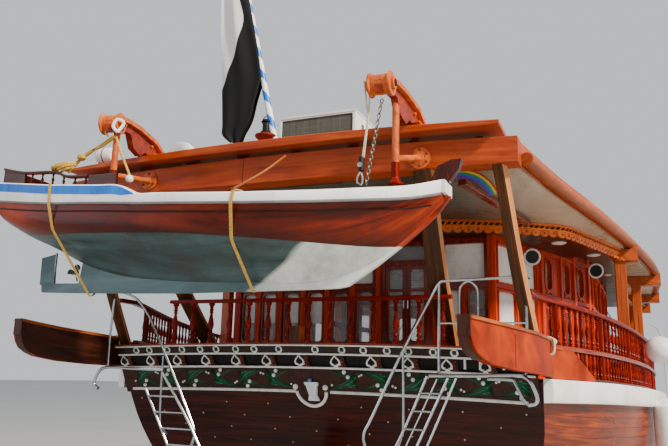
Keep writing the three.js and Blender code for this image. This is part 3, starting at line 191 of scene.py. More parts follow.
def ramp_of(tree, value, colours):
    """Colours from dark to light over the middle of a noise."""
    ramp = add_node(tree, "ValToRGB", {"Fac": value})
    marks = ramp.color_ramp.elements
    while len(marks) < len(colours):
        marks.new(0.5)
    for i, (mark, code) in enumerate(zip(marks, colours)):
        mark.position = RAMP_START + RAMP_SPAN * i / (len(colours) - 1)
        mark.color = rgb(code)
    return ramp.outputs["Color"]


def eased(tree, value, start, end, low, high):
    """The value mapped from start and end to low and high, and held there beyond them."""
    return add_node(tree, "MapRange", {"Value": value, "From Min": start, "From Max": end, "To Min": low,
                                       "To Max": high}).outputs[0]


def dimmed(tree, colour, world, code, share, zones):
    """Painted shade: the colour darkened towards the code in each zone, a product of eases along |x|, y or z.
    """
    parts = add_node(tree, "SeparateXYZ", {0: world})
    places = (maths(tree, "ABSOLUTE", parts.outputs[0]), parts.outputs[1], parts.outputs[2])
    for zone in zones:
        reach = share
        for axis, start, end in zone:
            reach = maths(tree, "MULTIPLY", eased(tree, places[axis], start, end, 0.0, 1.0), reach)
        colour = mix(tree, reach, colour, rgb(code))
    return colour


def surface(name, colours, rough=0.4, metal=0.0, coat=0.0, scale=(3, 3, 3), coords="grain", tone=0.12,
            bump=0.0, seams=None, dirt=None, rough_spread=0.1, below=None, clear=0.0, shade=None, paler=None,
            shine=0.25, gloom=None):
    """Procedural finish, its colours from dark to light.

    seams is (axis, pitch, width) of board joints, dirt is (colour, share, scale), gloom is (colour, share,
    zones) of painted shade on parts in shade. below is (colours, height) of the paint under a height, and
    height None takes the piece's own paint level. Where there is such paint, shade is (colour, share, reach)
    of painted shade just above its edge, and paler is (colour, share, (a, c, offset), width) of painted
    sunlight, which lightens it from the line a x + c z + offset = 0 on. shine is the specular level and
    clear is the share of light let through.
    """
    material = bpy.data.materials.new(name)
    material.use_nodes = True
    tree = material.node_tree
    shader = tree.nodes["Principled BSDF"]
    shader.inputs["Metallic"].default_value = metal
    shader.inputs["Coat Weight"].default_value = coat
    shader.inputs["Coat Roughness"].default_value = COAT_ROUGH
    shader.inputs["Specular IOR Level"].default_value = shine
    shader.inputs["Alpha"].default_value = 1.0 - clear
    world = add_node(tree, "TexCoord").outputs["Object"]
    place = world
    if coords == "grain":
        place = add_node(tree, "Attribute", attribute_name="grain").outputs["Vector"]
    stretched = add_node(tree, "Mapping", {"Vector": place, "Scale": scale}).outputs[0]
    noise = add_node(tree, "TexNoise", {"Vector": stretched, "Scale": 1.0, "Detail": 5.0, "Roughness": 0.62,
                                        "Distortion": 0.6}).outputs["Fac"]
    colour = ramp_of(tree, noise, colours)
    height = noise
    if below and gloom:
        colour = dimmed(tree, colour, world, *gloom)
    if below:
        under, level = below
        if level is None:
            mark = add_node(tree, "Attribute", attribute_name="level").outputs["Fac"]
        else:
            mark = maths(tree, "SUBTRACT", add_node(tree, "SeparateXYZ", {0: world}).outputs[2], level)
        low = ramp_of(tree, noise, under)
        if shade:
            code, share, reach = shade
            colour = mix(tree, eased(tree, mark, 0.0, reach, share, 0.0), colour, rgb(code))
        if paler:
            code, share, (a, c, offset), wide = paler
            parts = add_node(tree, "SeparateXYZ", {0: world})
            line = maths(tree, "ADD", maths(tree, "MULTIPLY_ADD", parts.outputs[0], a, offset),
                         maths(tree, "MULTIPLY", parts.outputs[2], c))
            low = mix(tree, eased(tree, line, 0.0, wide, 0.0, share), low, rgb(code))
        colour = mix(tree, maths(tree, "LESS_THAN", mark, 0.0), colour, low)
    if tone and coords == "grain":
        level = add_node(tree, "Attribute", attribute_name="tone").outputs["Fac"]
        colour = shaded(tree, colour, maths(tree, "MULTIPLY_ADD", level, 2 * tone, 1 - tone))
    if seams:
        axis, pitch, width = seams
        count = maths(tree, "DIVIDE", add_node(tree, "SeparateXYZ", {0: place}).outputs[axis], pitch)
        off = maths(tree, "ABSOLUTE", maths(tree, "SUBTRACT", maths(tree, "FRACT", count), 0.5))
        seam = maths(tree, "GREATER_THAN", off, 0.5 - width / pitch / 2)
        board = add_node(tree, "TexWhiteNoise", {"W": maths(tree, "FLOOR", count)}, noise_dimensions="1D")
        light = maths(tree, "MULTIPLY_ADD", board.outputs["Value"], BOARD_SPREAD, BOARD_LEAST)
        colour = shaded(tree, colour, light)
        colour = mix(tree, maths(tree, "MULTIPLY", seam, SEAM_SHARE), colour, rgb(SEAM_INK))
        height = maths(tree, "MULTIPLY_ADD", seam, SEAM_SINK, noise)
    if dirt:
        code, share, size = dirt
        grime = add_node(tree, "Mapping", {"Vector": world, "Scale": (size, size, size * 0.45)}).outputs[0]
        blot = add_node(tree, "TexNoise", {"Vector": grime, "Scale": 1.0, "Detail": 6.0, "Roughness": 0.7})
        reach = eased(tree, blot.outputs["Fac"], BLOT_START, BLOT_END, 0.0, share)
        colour = mix(tree, reach, colour, rgb(code))
    if gloom and not below:
        colour = dimmed(tree, colour, world, *gloom)
    tree.links.new(colour, shader.inputs["Base Color"])
    if rough_spread:
        spread = eased(tree, noise, GLOSS_START, GLOSS_END, max(rough - rough_spread, LEAST_ROUGH),
                       min(rough + rough_spread, 1.0))
        tree.links.new(spread, shader.inputs["Roughness"])
    else:
        shader.inputs["Roughness"].default_value = rough
    if bump:
        lift = add_node(tree, "Bump", {"Height": height, "Strength": 1.0, "Distance": bump})
        tree.links.new(lift.outputs[0], shader.inputs["Normal"])
    return material


PLANK = 0.155
GRAIN = (18, 18, 1.1)
FINE = (34, 34, 2.0)
# Painted sunlight on the slung boat's bottom paint at the bow: colour, share, line and width.
SUNLIT_PAINT = ("f4f8f2", 0.92, (1.0, -2.05, 7.62), 0.10)
ANTIFOULING = ("3a1a12", "55261a")
STUFF = {name: surface(name, colours, **more) for name, colours, more in (
    ("topsides", ("441200", "7a2800", "a04406"), dict(
        rough=0.34, coat=0.05, scale=(1.0, 16, 9), seams=(1, PLANK, 0.006), bump=0.006,
        dirt=("3a1a10", 0.40, 1.3), below=(ANTIFOULING, 0.0))),
    # Transom wood: a dark stain, its colours made darker still as painted shade.
    ("transom", ("1c0300", "380900", "501200"), dict(
        rough=0.36, scale=(0.9, 13, 9), seams=(1, 0.225, 0.006), bump=0.006,
        dirt=("120603", 0.5, 1.1), below=(ANTIFOULING, 0.0))),
    ("stem", ("2a1006", "45200d", "5e2e14"), dict(
        rough=0.4, coat=0.2, coords="Object", scale=(2, 2, 9), bump=0.003, below=(ANTIFOULING, 0.0))),
    ("bow_planks", ("4a1a0a", "7a3012", "984818"), dict(
        rough=0.34, coat=0.1, scale=(16, 9, 1.0), seams=(0, 0.16, 0.006), bump=0.006)),
    ("deck_edge", ("6a2a14", "8a3c1e"), dict(rough=0.4, coat=0.3, scale=GRAIN)),
    ("bung", ("a98a66", "d0b48c"), dict(rough=0.5, scale=(20, 20, 20))),
    ("white", ("f6f6f4", "ffffff"), dict(rough=0.34, scale=(2, 2, 2), dirt=("9c9488", 0.30, 2.2))),
    ("bead", ("dcdad4", "f8f8f6"), dict(rough=0.38, scale=(9, 9, 9), dirt=("6d665c", 0.35, 7.0))),
    ("cherry", ("3c0200", "6c0c00", "9a2000"), dict(rough=0.3, shine=0.12, scale=FINE, tone=0.2,
                                                    bump=0.0015)),
    ("rosewood", ("4e1204", "7c2608", "9c3c10"), dict(rough=0.26, coat=0.2, scale=FINE, tone=0.2,
                                                      bump=0.0015)),
    ("varnish", ("781600", "b82c00", "e04e08"), dict(rough=0.3, shine=0.12, scale=GRAIN, tone=0.14,
                                                     bump=0.003)),
    ("varnish_dark", ("480c00", "781a00", "a02c00"), dict(rough=0.22, coat=0.3, scale=GRAIN, tone=0.14,
                                                          bump=0.003)),
    ("mahogany", ("200400", "3a0c00", "561800"), dict(rough=0.24, coat=0.2, scale=GRAIN, bump=0.002)),
    ("terracotta", ("8c2a06", "b04010", "c8561c"), dict(
        rough=0.42, coat=0.04, scale=(11, 11, 0.8), bump=0.003, tone=0.08, dirt=("6b3018", 0.35, 3.0))),
    ("beam", ("8a2a06", "ac4010", "c05418"), dict(
        rough=0.45, scale=(11, 11, 0.8), bump=0.003, tone=0.08, dirt=("6b2c14", 0.30, 2.2))),
    ("tube_paint", ("743210", "94481e", "a85a2e"), dict(
        rough=0.45, scale=(6, 6, 1.0), bump=0.002, tone=0.06, dirt=("5c3626", 0.35, 4.0))),
    # Dark post wood, darkened as painted shade; the lighter copy of it further down is painted sunlight on
    # the posts' sunny side faces.
    ("post", ("2e1402", "4c2806", "6c3c0c"), dict(
        rough=0.45, scale=(22, 22, 1.2), bump=0.005, dirt=("34190c", 0.5, 3.0))),
    ("wing", ("561200", "922a00", "b44000"), dict(
        rough=0.45, shine=0.08, scale=(2.0, 2.6, 1.6), bump=0.002, dirt=("7a2c12", 0.4, 2.4))),
    ("wing_cap", ("74300c", "9c4a18", "bc6a2c"), dict(rough=0.4, coat=0.05, scale=GRAIN, bump=0.004)),
    ("wing_dark", ("200c05", "3a180b", "522412"), dict(rough=0.4, coat=0.05, scale=GRAIN, bump=0.004)),
    ("carved", ("160b06", "26130a", "34200f"), dict(rough=0.4, coat=0.05, scale=GRAIN, bump=0.004)),
    ("frieze_ground", ("1c0c06", "32160b", "3e2010"), dict(rough=0.45, scale=(6, 6, 9), bump=0.006)),
    ("shadow", ("070403", "0d0806"), dict(rough=0.6, scale=(8, 8, 8))),
    ("leaf", ("04301c", "0a4c2c", "166440"), dict(rough=0.35, coat=0.2, scale=(24, 24, 24))),
    ("leaf_dark", ("042818", "083c24", "105034"), dict(rough=0.35, coat=0.2, scale=(24, 24, 24))),
    ("leaf_light", ("14603a", "2c7c52", "559c74"), dict(rough=0.4, scale=(24, 24, 24))),
    ("vase", ("c4cbd4", "dfe4ea"), dict(rough=0.4, scale=(9, 9, 9), dirt=("7c8290", 0.3, 9.0))),
    ("vase_blue", ("3a6ea0", "5a8cc0"), dict(rough=0.4, scale=(9, 9, 9))),
    ("side_post", ("6e2a08", "9c4210", "bc5c22"), dict(rough=0.35, coat=0.1, scale=(16, 16, 1.2),
                                                       bump=0.003)),
    ("davit", ("a8420c", "cc5e1c", "e0783a"), dict(
        rough=0.42, coat=0.05, scale=(7, 7, 7), bump=0.002, tone=0.04, dirt=("7a3418", 0.35, 5.0))),
    ("davit_red", ("5a1604", "802408", "983410"), dict(rough=0.45, coat=0.05, scale=(7, 7, 7), bump=0.002)),
    ("red_scroll", ("6a140c", "9a2a18"), dict(rough=0.35, coat=0.2, scale=(20, 20, 20))),
    # Roof lining: its cream colours are darkened as painted shade, and gloom adds more painted shade towards
    # the centreline and forward of y -8.4 inside the edge.
    ("soffit", ("a09a84", "bcb69e", "d4cdb6"), dict(
        rough=0.3, coat=0.1, coords="Object", scale=(0.9, 0.5, 0.6), bump=0.05,
        gloom=("1c160e", 0.85, (((0, 3.6, 2.3),), ((1, -9.3, -8.4), (0, 4.5, 4.3)))),
        dirt=("7c725a", 0.35, 1.2))),
    ("ceiling", ("1c0a04", "301206", "441c0c"), dict(
        rough=0.35, coat=0.15, scale=(0.9, 0.5, 0.6), bump=0.01, dirt=("6c624c", 0.35, 1.2))),
    ("deck", ("6f4a2a", "9a6c40", "b78a58"), dict(
        rough=0.62, coords="Object", scale=(9, 0.8, 3), seams=(0, 0.12, 0.007), bump=0.004,
        dirt=("5c4630", 0.4, 1.4))),
    ("roof", ("8b8273", "a39a88", "b5ad9c"), dict(
        rough=0.75, coords="Object", scale=(2.5, 2.5, 2.5), bump=0.003, dirt=("5f574a", 0.5, 0.8))),
    ("cornice", ("b44a10", "dc6a24", "ec8238"), dict(
        rough=0.38, coat=0.08, scale=GRAIN, bump=0.002, dirt=("5a2410", 0.35, 5.0))),
    ("glass", ("dfe8ea", "eef3f4"), dict(
        shine=0.5, rough=0.03, coords="Object", scale=(1, 1, 1), coat=0.3, rough_spread=0.0, clear=0.8)),
    # Slung boat's red and bottom paint. Painted shade: shade darkens the red just above the bottom paint,
    # gloom darkens the red amidships. Painted sunlight: the sunlit patch lightens the bottom paint at the
    # bow.
    ("boat_red", ("5a1400", "a42a00", "d04a08"), dict(
        rough=0.34, scale=(0.5, 3.0, 2.0), bump=0.001, dirt=("38170f", 0.55, 2.6),
        below=(("26383b", "38504f", "4e676a"), None), shade=("1c0603", 0.8, 0.26),
        paler=SUNLIT_PAINT, gloom=("2a0600", 0.42, (((0, 2.3, 0.9),),)))),
    # Painted sunlight: the sunlit patch lightens the keel's bottom paint at the bow.
    ("keel_paint", ("5a1400", "a42a00", "d04a08"), dict(
        rough=0.4, scale=(0.5, 3.0, 2.0), bump=0.001, dirt=("56686a", 0.3, 2.6),
        below=(("3e5659", "587074", "748c90"), None), paler=SUNLIT_PAINT)),
    ("propeller_paint", ("2c3a38", "44544f", "5c6c66"), dict(rough=0.5, scale=(12, 12, 12))),
    ("chain", ("5c544a", "857b6e"), dict(rough=0.45, metal=0.5, scale=(20, 20, 20))),
    ("boat_line", ("1d0d08", "351811"), dict(rough=0.4, scale=(4, 4, 4))),
    # Grey strip under the slung boat's rubbing strake: painted shadow.
    ("strake_shadow", ("8c9092", "a6aaab"), dict(rough=0.4, scale=(4, 4, 4))),
    ("boat_grey", ("354b4e", "4c666a", "668287"), dict(
        rough=0.55, scale=(0.8, 2.4, 2.0), bump=0.001, dirt=("56686a", 0.45, 1.7))),
    ("boat_blue", ("0460c4", "1480e4"), dict(rough=0.32, scale=(1, 4, 4), tone=0.0)),
    ("boat_inside", ("7b5a3a", "9d7b52"), dict(rough=0.5, scale=GRAIN)),
    ("steel", ("a9acae", "d0d3d5"), dict(
        shine=0.5, rough=0.22, metal=1.0, scale=(6, 6, 6), rough_spread=0.06, dirt=("7c7670", 0.25, 9.0))),
    ("bronze", ("6c5a34", "93804c"), dict(shine=0.5, rough=0.4, metal=0.9, coords="Object", scale=(9, 9, 9))),
    ("dark_iron", ("1c1b1a", "33302c"), dict(rough=0.5, metal=0.6, scale=(20, 20, 20))),
    ("strap", ("b0842a", "cfa345", "dcb964"), dict(rough=0.7, scale=(60, 60, 60), bump=0.001)),
    ("rope", ("b9ac92", "d8cdb6"), dict(rough=0.85, scale=(40, 40, 160), bump=0.004)),
    ("tarred", ("2c261e", "4a4236"), dict(rough=0.85, coords="Object", scale=(40, 40, 90), bump=0.003)),
    ("timber", ("2c1408", "4a2410", "603416"), dict(
        rough=0.5, coat=0.1, coords="Object", scale=(14, 14, 1.5), bump=0.003)),
    ("black", ("0b0b0c", "18181a"), dict(rough=0.4, scale=(9, 9, 9))),
    ("blind", ("f4f2ec", "fdfcf8"), dict(rough=0.6, scale=(1, 1, 30), tone=0.05, dirt=("6a665e", 0.45, 1.6))),
    # Lighter copy of the post wood: painted sunlight on the raked posts' side faces towards the sun.
    ("post_sunlit_side", ("a4602c", "bf7a40", "d08c50"), dict(rough=0.45, coat=0.1, scale=(22, 22, 1.2),
                                                       bump=0.004)),
    ("unit", ("f0f0ee", "fbfbf9"), dict(rough=0.42, scale=(3, 3, 3), dirt=("a09888", 0.3, 2.5))),
    ("mesh_grey", ("5a5c56", "70726a"), dict(rough=0.6, scale=(120, 8, 8), bump=0.002)),
    ("dome", ("f4f4f2", "fcfcfb"), dict(rough=0.3, scale=(2, 2, 2), dirt=("bdb8ad", 0.25, 4.0))),
    ("vinyl", ("eeefef", "fafafa"), dict(rough=0.4, scale=(5, 5, 5), bump=0.01, dirt=("9a948a", 0.35, 4.0))),
    ("staff", ("e8ebec", "f6f7f8"), dict(rough=0.35, scale=(3, 3, 3))),
    ("cloth", ("101113", "1d1f21"), dict(
        rough=0.9, scale=(260, 260, 260), bump=0.0006, below=(("d8d8d6", "ebebe9"), None), tone=0.0)),
    ("spar", ("6a3208", "9a5418", "b87430"), dict(rough=0.42, coat=0.3, scale=(14, 14, 0.7), bump=0.003)),
    ("bulb", ("f2ead8", "fff6e4"), dict(rough=0.3, scale=(3, 3, 3))),
    ("under", ("3a1a12", "55261a"), dict(rough=0.6, coords="Object", scale=(1, 1, 1))),
    *((f"arch_{tint}", (code, code), dict(rough=0.5, tone=0.0, dirt=("3a3a3a", 0.3, 6.0))) for tint, code in (
        ("red", "b03420"), ("yellow", "d8b82c"), ("green", "1d8a4c"), ("sky", "2a57b8"),
        ("violet", "5a2c8c"))),
)}


class Piece:
    """A piece in the making: corners and faces, with grain place, tone and paint level at each corner."""

    def __init__(self):
        self.points, self.faces, self.grain, self.tone, self.level = [], [], [], [], []
        self.finish, self.materials = [], []

    def add(self, points, faces, stuff, grain=None, level=None):
        base = len(self.points)
        if stuff not in self.materials:
            self.materials.append(stuff)
        shift = Vector((RNG.uniform(-9, 9), RNG.uniform(-9, 9), RNG.uniform(-9, 9)))
        self.points += [tuple(p) for p in points]
        self.faces += [tuple(base + i for i in face) for face in faces]
        self.grain += [tuple(Vector(p) + shift) for p in grain or points]
        self.tone += [RNG.random()] * len(points)
        self.level += level or [1.0] * len(points)
        self.finish += [self.materials.index(stuff)] * len(faces)

    def make(self, name, slot, body="vessel", replaces=(), angle=35, recalc=True):
        mesh = bpy.data.meshes.new(name)
        mesh.from_pydata(self.points, [], self.faces)
        for stuff in self.materials:
            mesh.materials.append(STUFF[stuff])
        mesh.polygons.foreach_set("material_index", self.finish)
        flat = [c for g in self.grain for c in g]
        mesh.attributes.new("grain", "FLOAT_VECTOR", "POINT").data.foreach_set("vector", flat)
        mesh.attributes.new("tone", "FLOAT", "POINT").data.foreach_set("value", self.tone)
        mesh.attributes.new("level", "FLOAT", "POINT").data.foreach_set("value", self.level)
        if recalc:
            edit = bmesh.new()
            edit.from_mesh(mesh)
            bmesh.ops.recalc_face_normals(edit, faces=edit.faces)
            edit.to_mesh(mesh)
            edit.free()
        mesh.shade_smooth()
        mesh.set_sharp_from_angle(angle=math.radians(angle))
        made = bpy.data.objects.new(name, mesh)
        bpy.context.scene.collection.objects.link(made)
        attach(made, body)
        if replaces:
            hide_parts(*replaces)
        return made


def loft(piece, stuff, rings, closed=True, caps=True):
    """Skin over rings of points, all with the same count."""
    n = len(rings[0])
    points, grain, run = [], [], 0.0
    for r, ring in enumerate(rings):
        if r:
            run += (Vector(ring[0]) - Vector(rings[r - 1][0])).length
        around = 0.0
        for i, p in enumerate(ring):
            if i:
                around += (Vector(p) - Vector(ring[i - 1])).length
            points.append(Vector(p))
            grain.append(Vector((around, 0.0, run)))
    faces = grid_faces(len(rings), n, closed=closed)
    if caps and closed:
        faces.append(tuple(range(n - 1, -1, -1)))
        faces.append(tuple((len(rings) - 1) * n + i for i in range(n)))
    piece.add(points, faces, stuff, grain)


def bar(piece, stuff, a, b, wide, deep, up=Z, chamfer=0.12, wide_end=None, deep_end=None):
    """Straight bar from a to b; wide runs across, deep runs along up."""
    a, b = Vector(a), Vector(b)
    run = (b - a).normalized()
    across = Vector(up).cross(run)
    across = (across if across.length > 1e-6 else X.cross(run)).normalized()
    lift = run.cross(across)
    cut = chamfer * min(wide, deep)
    rings = []
    for end, w, d in ((a, wide, deep), (b, wide_end or wide, deep_end or deep)):
        w, d = w / 2, d / 2
        corners = [(w - cut, -d), (w, -d + cut), (w, d - cut), (w - cut, d), (-w + cut, d), (-w, d - cut),
                   (-w, -d + cut), (-w + cut, -d)]
        rings.append([end + across * u + lift * v for u, v in corners])
    loft(piece, stuff, rings)


def block(piece, stuff, x0, x1, y0, y1, z0, z1, chamfer=0.1):
    """Box between two corners, its grain along its longest side."""
    low, high = Vector((x0, y0, z0)), Vector((x1, y1, z1))
    size, mid = high - low, (low + high) / 2
    if size.x >= size.y and size.x >= size.z:
        bar(piece, stuff, (x0, mid.y, mid.z), (x1, mid.y, mid.z), size.y, size.z, Z, chamfer)
    elif size.y >= size.z:
        bar(piece, stuff, (mid.x, y0, mid.z), (mid.x, y1, mid.z), size.x, size.z, Z, chamfer)
    else:
        bar(piece, stuff, (mid.x, mid.y, z0), (mid.x, mid.y, z1), size.x, size.y, Y, chamfer)


def tube(piece, stuff, path, radius, segments=8, closed=False):
    """Round rod along a path; radius is one number or one for each point."""
    path = [Vector(p) for p in path]
    count = len(path)
    radii = [radius] * count if isinstance(radius, (int, float)) else radius
    rings, side = [], None
    for i, p in enumerate(path):
        ahead = path[(i + 1) % count] if closed else path[min(i + 1, count - 1)]
        behind = path[i - 1] if closed else path[max(i - 1, 0)]
        run = (ahead - behind).normalized()
        if side is None:
            side = run.cross(Z if abs(run.z) < 0.9 else X).normalized()
        side = (side - run * side.dot(run)).normalized()
        other = run.cross(side)
        rings.append([p + (side * math.cos(t) + other * math.sin(t)) * radii[i] for t in angles(segments)])
    if closed:
        rings.append(rings[0])
    loft(piece, stuff, rings, caps=not closed)


def curve(points, count=6):
    """Points on a smooth curve through the given ones."""
    points = [Vector(p) for p in points]
    made = []
    for i in range(len(points) - 1):
        a, b = points[max(i - 1, 0)], points[i]
        c, d = points[i + 1], points[min(i + 2, len(points) - 1)]
        for k in range(count):
            t = k / count
            made.append(0.5 * (2 * b + (c - a) * t + (2 * a - 5 * b + 4 * c - d) * t ** 2
                               + (3 * b - a - 3 * c + d) * t ** 3))
    return made + [points[-1]]


LEAST_RADIUS = 1e-4


def lathe(piece, stuff, profile, at, axis=Z, segments=12, closed_ends=True):
    """Turned shape: profile is (radius, distance along the axis)."""
    at, axis = Vector(at), Vector(axis).normalized()
    side = axis.cross(X if abs(axis.x) < 0.9 else Y).normalized()
    other = axis.cross(side)
    rings = [[at + axis * h + (side * math.cos(t) + other * math.sin(t)) * max(r, LEAST_RADIUS)
              for t in angles(segments)] for r, h in profile]
    loft(piece, stuff, rings, caps=closed_ends)


def plate(piece, stuff, loops, place, thick):
    """Flat plate with holes: loops are the outline and then the holes, place puts (u, v, w) in the frame."""
    flat = [[Vector((u, v, 0)) for u, v in loop] for loop in loops]
    triangles = tessellate_polygon(flat)
    corners = [p for loop in flat for p in loop]
    n = len(corners)
    points = [Vector(place(p.x, p.y, deep)) for deep in (0.0, thick) for p in corners]
    grain = [Vector((p.x, deep, p.y)) for deep in (0.0, thick) for p in corners]
    faces = [tuple(t) for t in triangles] + [tuple(n + i for i in reversed(t)) for t in triangles]
    start = 0
    for loop in loops:
        count = len(loop)
        for i in range(count):
            j = (i + 1) % count
            faces.append((start + i, start + j, n + start + j, n + start + i))
        start += count
    piece.add(points, faces, stuff, grain)


def rounded(u0, u1, v0, v1, radius, count=4):
    """Rectangle outline with rounded corners."""
    made = []
    for cu, cv, turn in ((u1 - radius, v0 + radius, -90), (u1 - radius, v1 - radius, 0),
                         (u0 + radius, v1 - radius, 90), (u0 + radius, v0 + radius, 180)):
        for k in range(count + 1):
            t = math.radians(turn + 90 * k / count)
            made.append((cu + radius * math.cos(t), cv + radius * math.sin(t)))
    return made


def ball(piece, stuff, at, radius, segments=10, squeeze=1.0):
    count = max(segments // 2, 3)
    profile = [(radius * math.sin(math.pi * k / count), -radius * squeeze * math.cos(math.pi * k / count))
               for k in range(count + 1)]
    lathe(piece, stuff, profile, at, Z, segments)


BALUSTER = ((0.00, 1.0), (0.06, 1.0), (0.065, 0.62), (0.10, 0.84), (0.14, 0.50), (0.20, 0.86), (0.26, 0.52),
            (0.285, 0.78), (0.31, 0.55), (0.40, 0.92), (0.47, 1.0), (0.58, 0.76), (0.70, 0.46), (0.735, 0.44),
            (0.76, 0.74), (0.785, 0.46), (0.82, 0.76), (0.855, 0.46), (0.88, 0.76), (0.905, 0.52),
            (0.935, 0.96), (1.00, 0.96))


def baluster(piece, stuff, foot, head, radius, segments=10):
    foot, head = Vector(foot), Vector(head)
    length = (head - foot).length
    lathe(piece, stuff, [(radius * r, length * h) for h, r in BALUSTER], foot, head - foot, segments)


def strip_rings(side, ys, section):
    return [[(side * x, y, z) for x, z in section(y)] for y in ys]


# Hull skin: points on a smooth line round the section, from the deck edge to the keel.
GIRTH_STEPS = 22


def on_knots(knots, count):
    """Points at even steps on the smooth line through the (across, height) knots."""
    rows, run = [], 0.0
    for i, (x, z) in enumerate(knots):
        if i:
            run += math.dist(knots[i], knots[i - 1])
        rows.append({"y": run, "x": x, "z": z})
    return [(along(rows, "x", t), along(rows, "z", t)) for t in steps(0.0, run, count)]


def girth(row, place):
    """Half a hull section from the deck edge down; place gives a point's y from its height."""
    knots = [(row["deck"], row["sheer"]), (row["side"], row["sheer"] - 0.45 * (row["sheer"] - row["zWater"])),
             (row["water"], row["zWater"]), (row["bilge"], row["zBilge"]), (KEEL_HALF, row["zBottom"])]
    return [Vector((x, place(z), z)) for x, z in on_knots(knots, GIRTH_STEPS)]


def station_row(y):
    return {key: along(STATIONS, key, y) for key in COLUMNS[1:]}


def hull_rings():
    stations = [girth(station_row(row["y"]), lambda z, y=row["y"]: y) for row in STATIONS[:3]]
    transom = girth(TRANSOM, transom_y)
    rings = []
    for s in steps(0.0, 1.0, 5)[:-1]:
        ring = []
        for j, corner in enumerate(transom):
            rows = [{"y": p.y, "x": p.x, "z": p.z} for p in (corner, *(ring_of[j] for ring_of in stations))]
            y = corner.y + s * (STATIONS[0]["y"] - corner.y)
            ring.append(Vector((along(rows, "x", y), y, along(rows, "z", y))))
        rings.append(ring)
    for y in steps(STATIONS[0]["y"], STATIONS[-1]["y"], 64):
        rings.append(girth(station_row(y), lambda z, y=y: y))
    return rings


HALF_RINGS = hull_rings()


def hull_skin():
    piece = Piece()
    for side in (1, -1):
        points, grain, run = [], [], 0.0
        for r, ring in enumerate(HALF_RINGS):
            run += (ring[0] - HALF_RINGS[max(r - 1, 0)][0]).length
            around = 0.0
            for i, p in enumerate(ring):
                around += (p - ring[max(i - 1, 0)]).length
                points.append(Vector((side * p.x, p.y, p.z)))
                grain.append(Vector((run, around, 0.0)))
        piece.add(points, grid_faces(len(HALF_RINGS), GIRTH_STEPS + 1, side), "topsides", grain)
    for stuff, ring, turn in (("transom", HALF_RINGS[0], 1), ("topsides", HALF_RINGS[-1], -1)):
        shares = steps(-1.0, 1.0, 8)
        points = [Vector((s * p.x, p.y, p.z)) for p in ring for s in shares]
        grain = [Vector((p.x, p.z * math.hypot(1, TRANSOM_RAKE), 0.0)) for p in points]
        piece.add(points, grid_faces(len(ring), len(shares), turn), stuff, grain)
    top = [Vector((s * ring[0].x, ring[0].y, ring[0].z + DECK_CAMBER * (1 - abs(s))))
           for ring in HALF_RINGS for s in (-1, 0, 1)]
    piece.add(top, grid_faces(len(HALF_RINGS), 3), "deck_edge")
    return piece


def hull_point(y, girth_share):
    """Point and outward direction on the starboard side, at y, a share of the way from deck edge to keel."""
    ring = girth(station_row(y), lambda z: y)
    i = min(int(girth_share * GIRTH_STEPS), GIRTH_STEPS - 1)
    t = girth_share * GIRTH_STEPS - i
    p = ring[i].lerp(ring[i + 1], t)
    run = ring[i + 1] - ring[i]
    return p, Vector((-run.z, 0, run.x)).normalized()


def bungs():
    """Wooden plugs over the fastenings of the planking."""
    piece = Piece()

    def plug(at, out):
        lathe(piece, "bung", [(0.014, -0.003), (0.014, 0.003), (0.010, 0.005)], at, out, 7)

    for y in steps(-10.8, 12.5, 46):
        ring = girth(station_row(y), lambda z: y)
        length = sum((ring[i + 1] - ring[i]).length for i in range(GIRTH_STEPS))
        for k in range(2, 14):
            share = (k + 0.5) * PLANK / length
            p, out = hull_point(y, share)
            if p.z < 0.1 or (k + int(y * 2)) % 2:
                continue
            for side in (1, -1):
                plug((side * p.x, y + RNG.uniform(-0.05, 0.05), p.z), (side * out.x, 0, out.z))
    down = Vector((0, -1, -TRANSOM_RAKE)).normalized()
    for row in range(12):
        z = 2.52 - row * 0.2
        half = 3.3 - 0.17 * row
        for k in range(-4, 5):
            x = k * 0.8 + (0.4 if row % 2 else 0.0) + RNG.uniform(-0.08, 0.08)
            if abs(x) < half:
                plug((x, transom_y(z), z), down)
    return piece


def bands(side):
    """White rubbing band along the sheer, closed across the transom's corner."""
    piece = Piece()

    def section(y):
        x, z = deck_half(y) + 0.001, sheer(y)
        return ((x, z + 0.055), (x + 0.09, z + 0.05), (x + 0.122, z + 0.02), (x + 0.13, z - 0.10),
                (x + 0.122, z - 0.22), (x + 0.095, z - 0.262), (x, z - 0.27))

    loft(piece, "white", strip_rings(side, steps(TRANSOM["y"] + 0.02, 15.30, 72), section))
    return piece


RAIL_INSET, RAIL_FORE = 0.12, 3.6
BOW_BULWARK = {"from": 3.55, "to": 15.20, "up": 0.72, "thick": 0.10, "clear": 0.158, "least": 0.198}


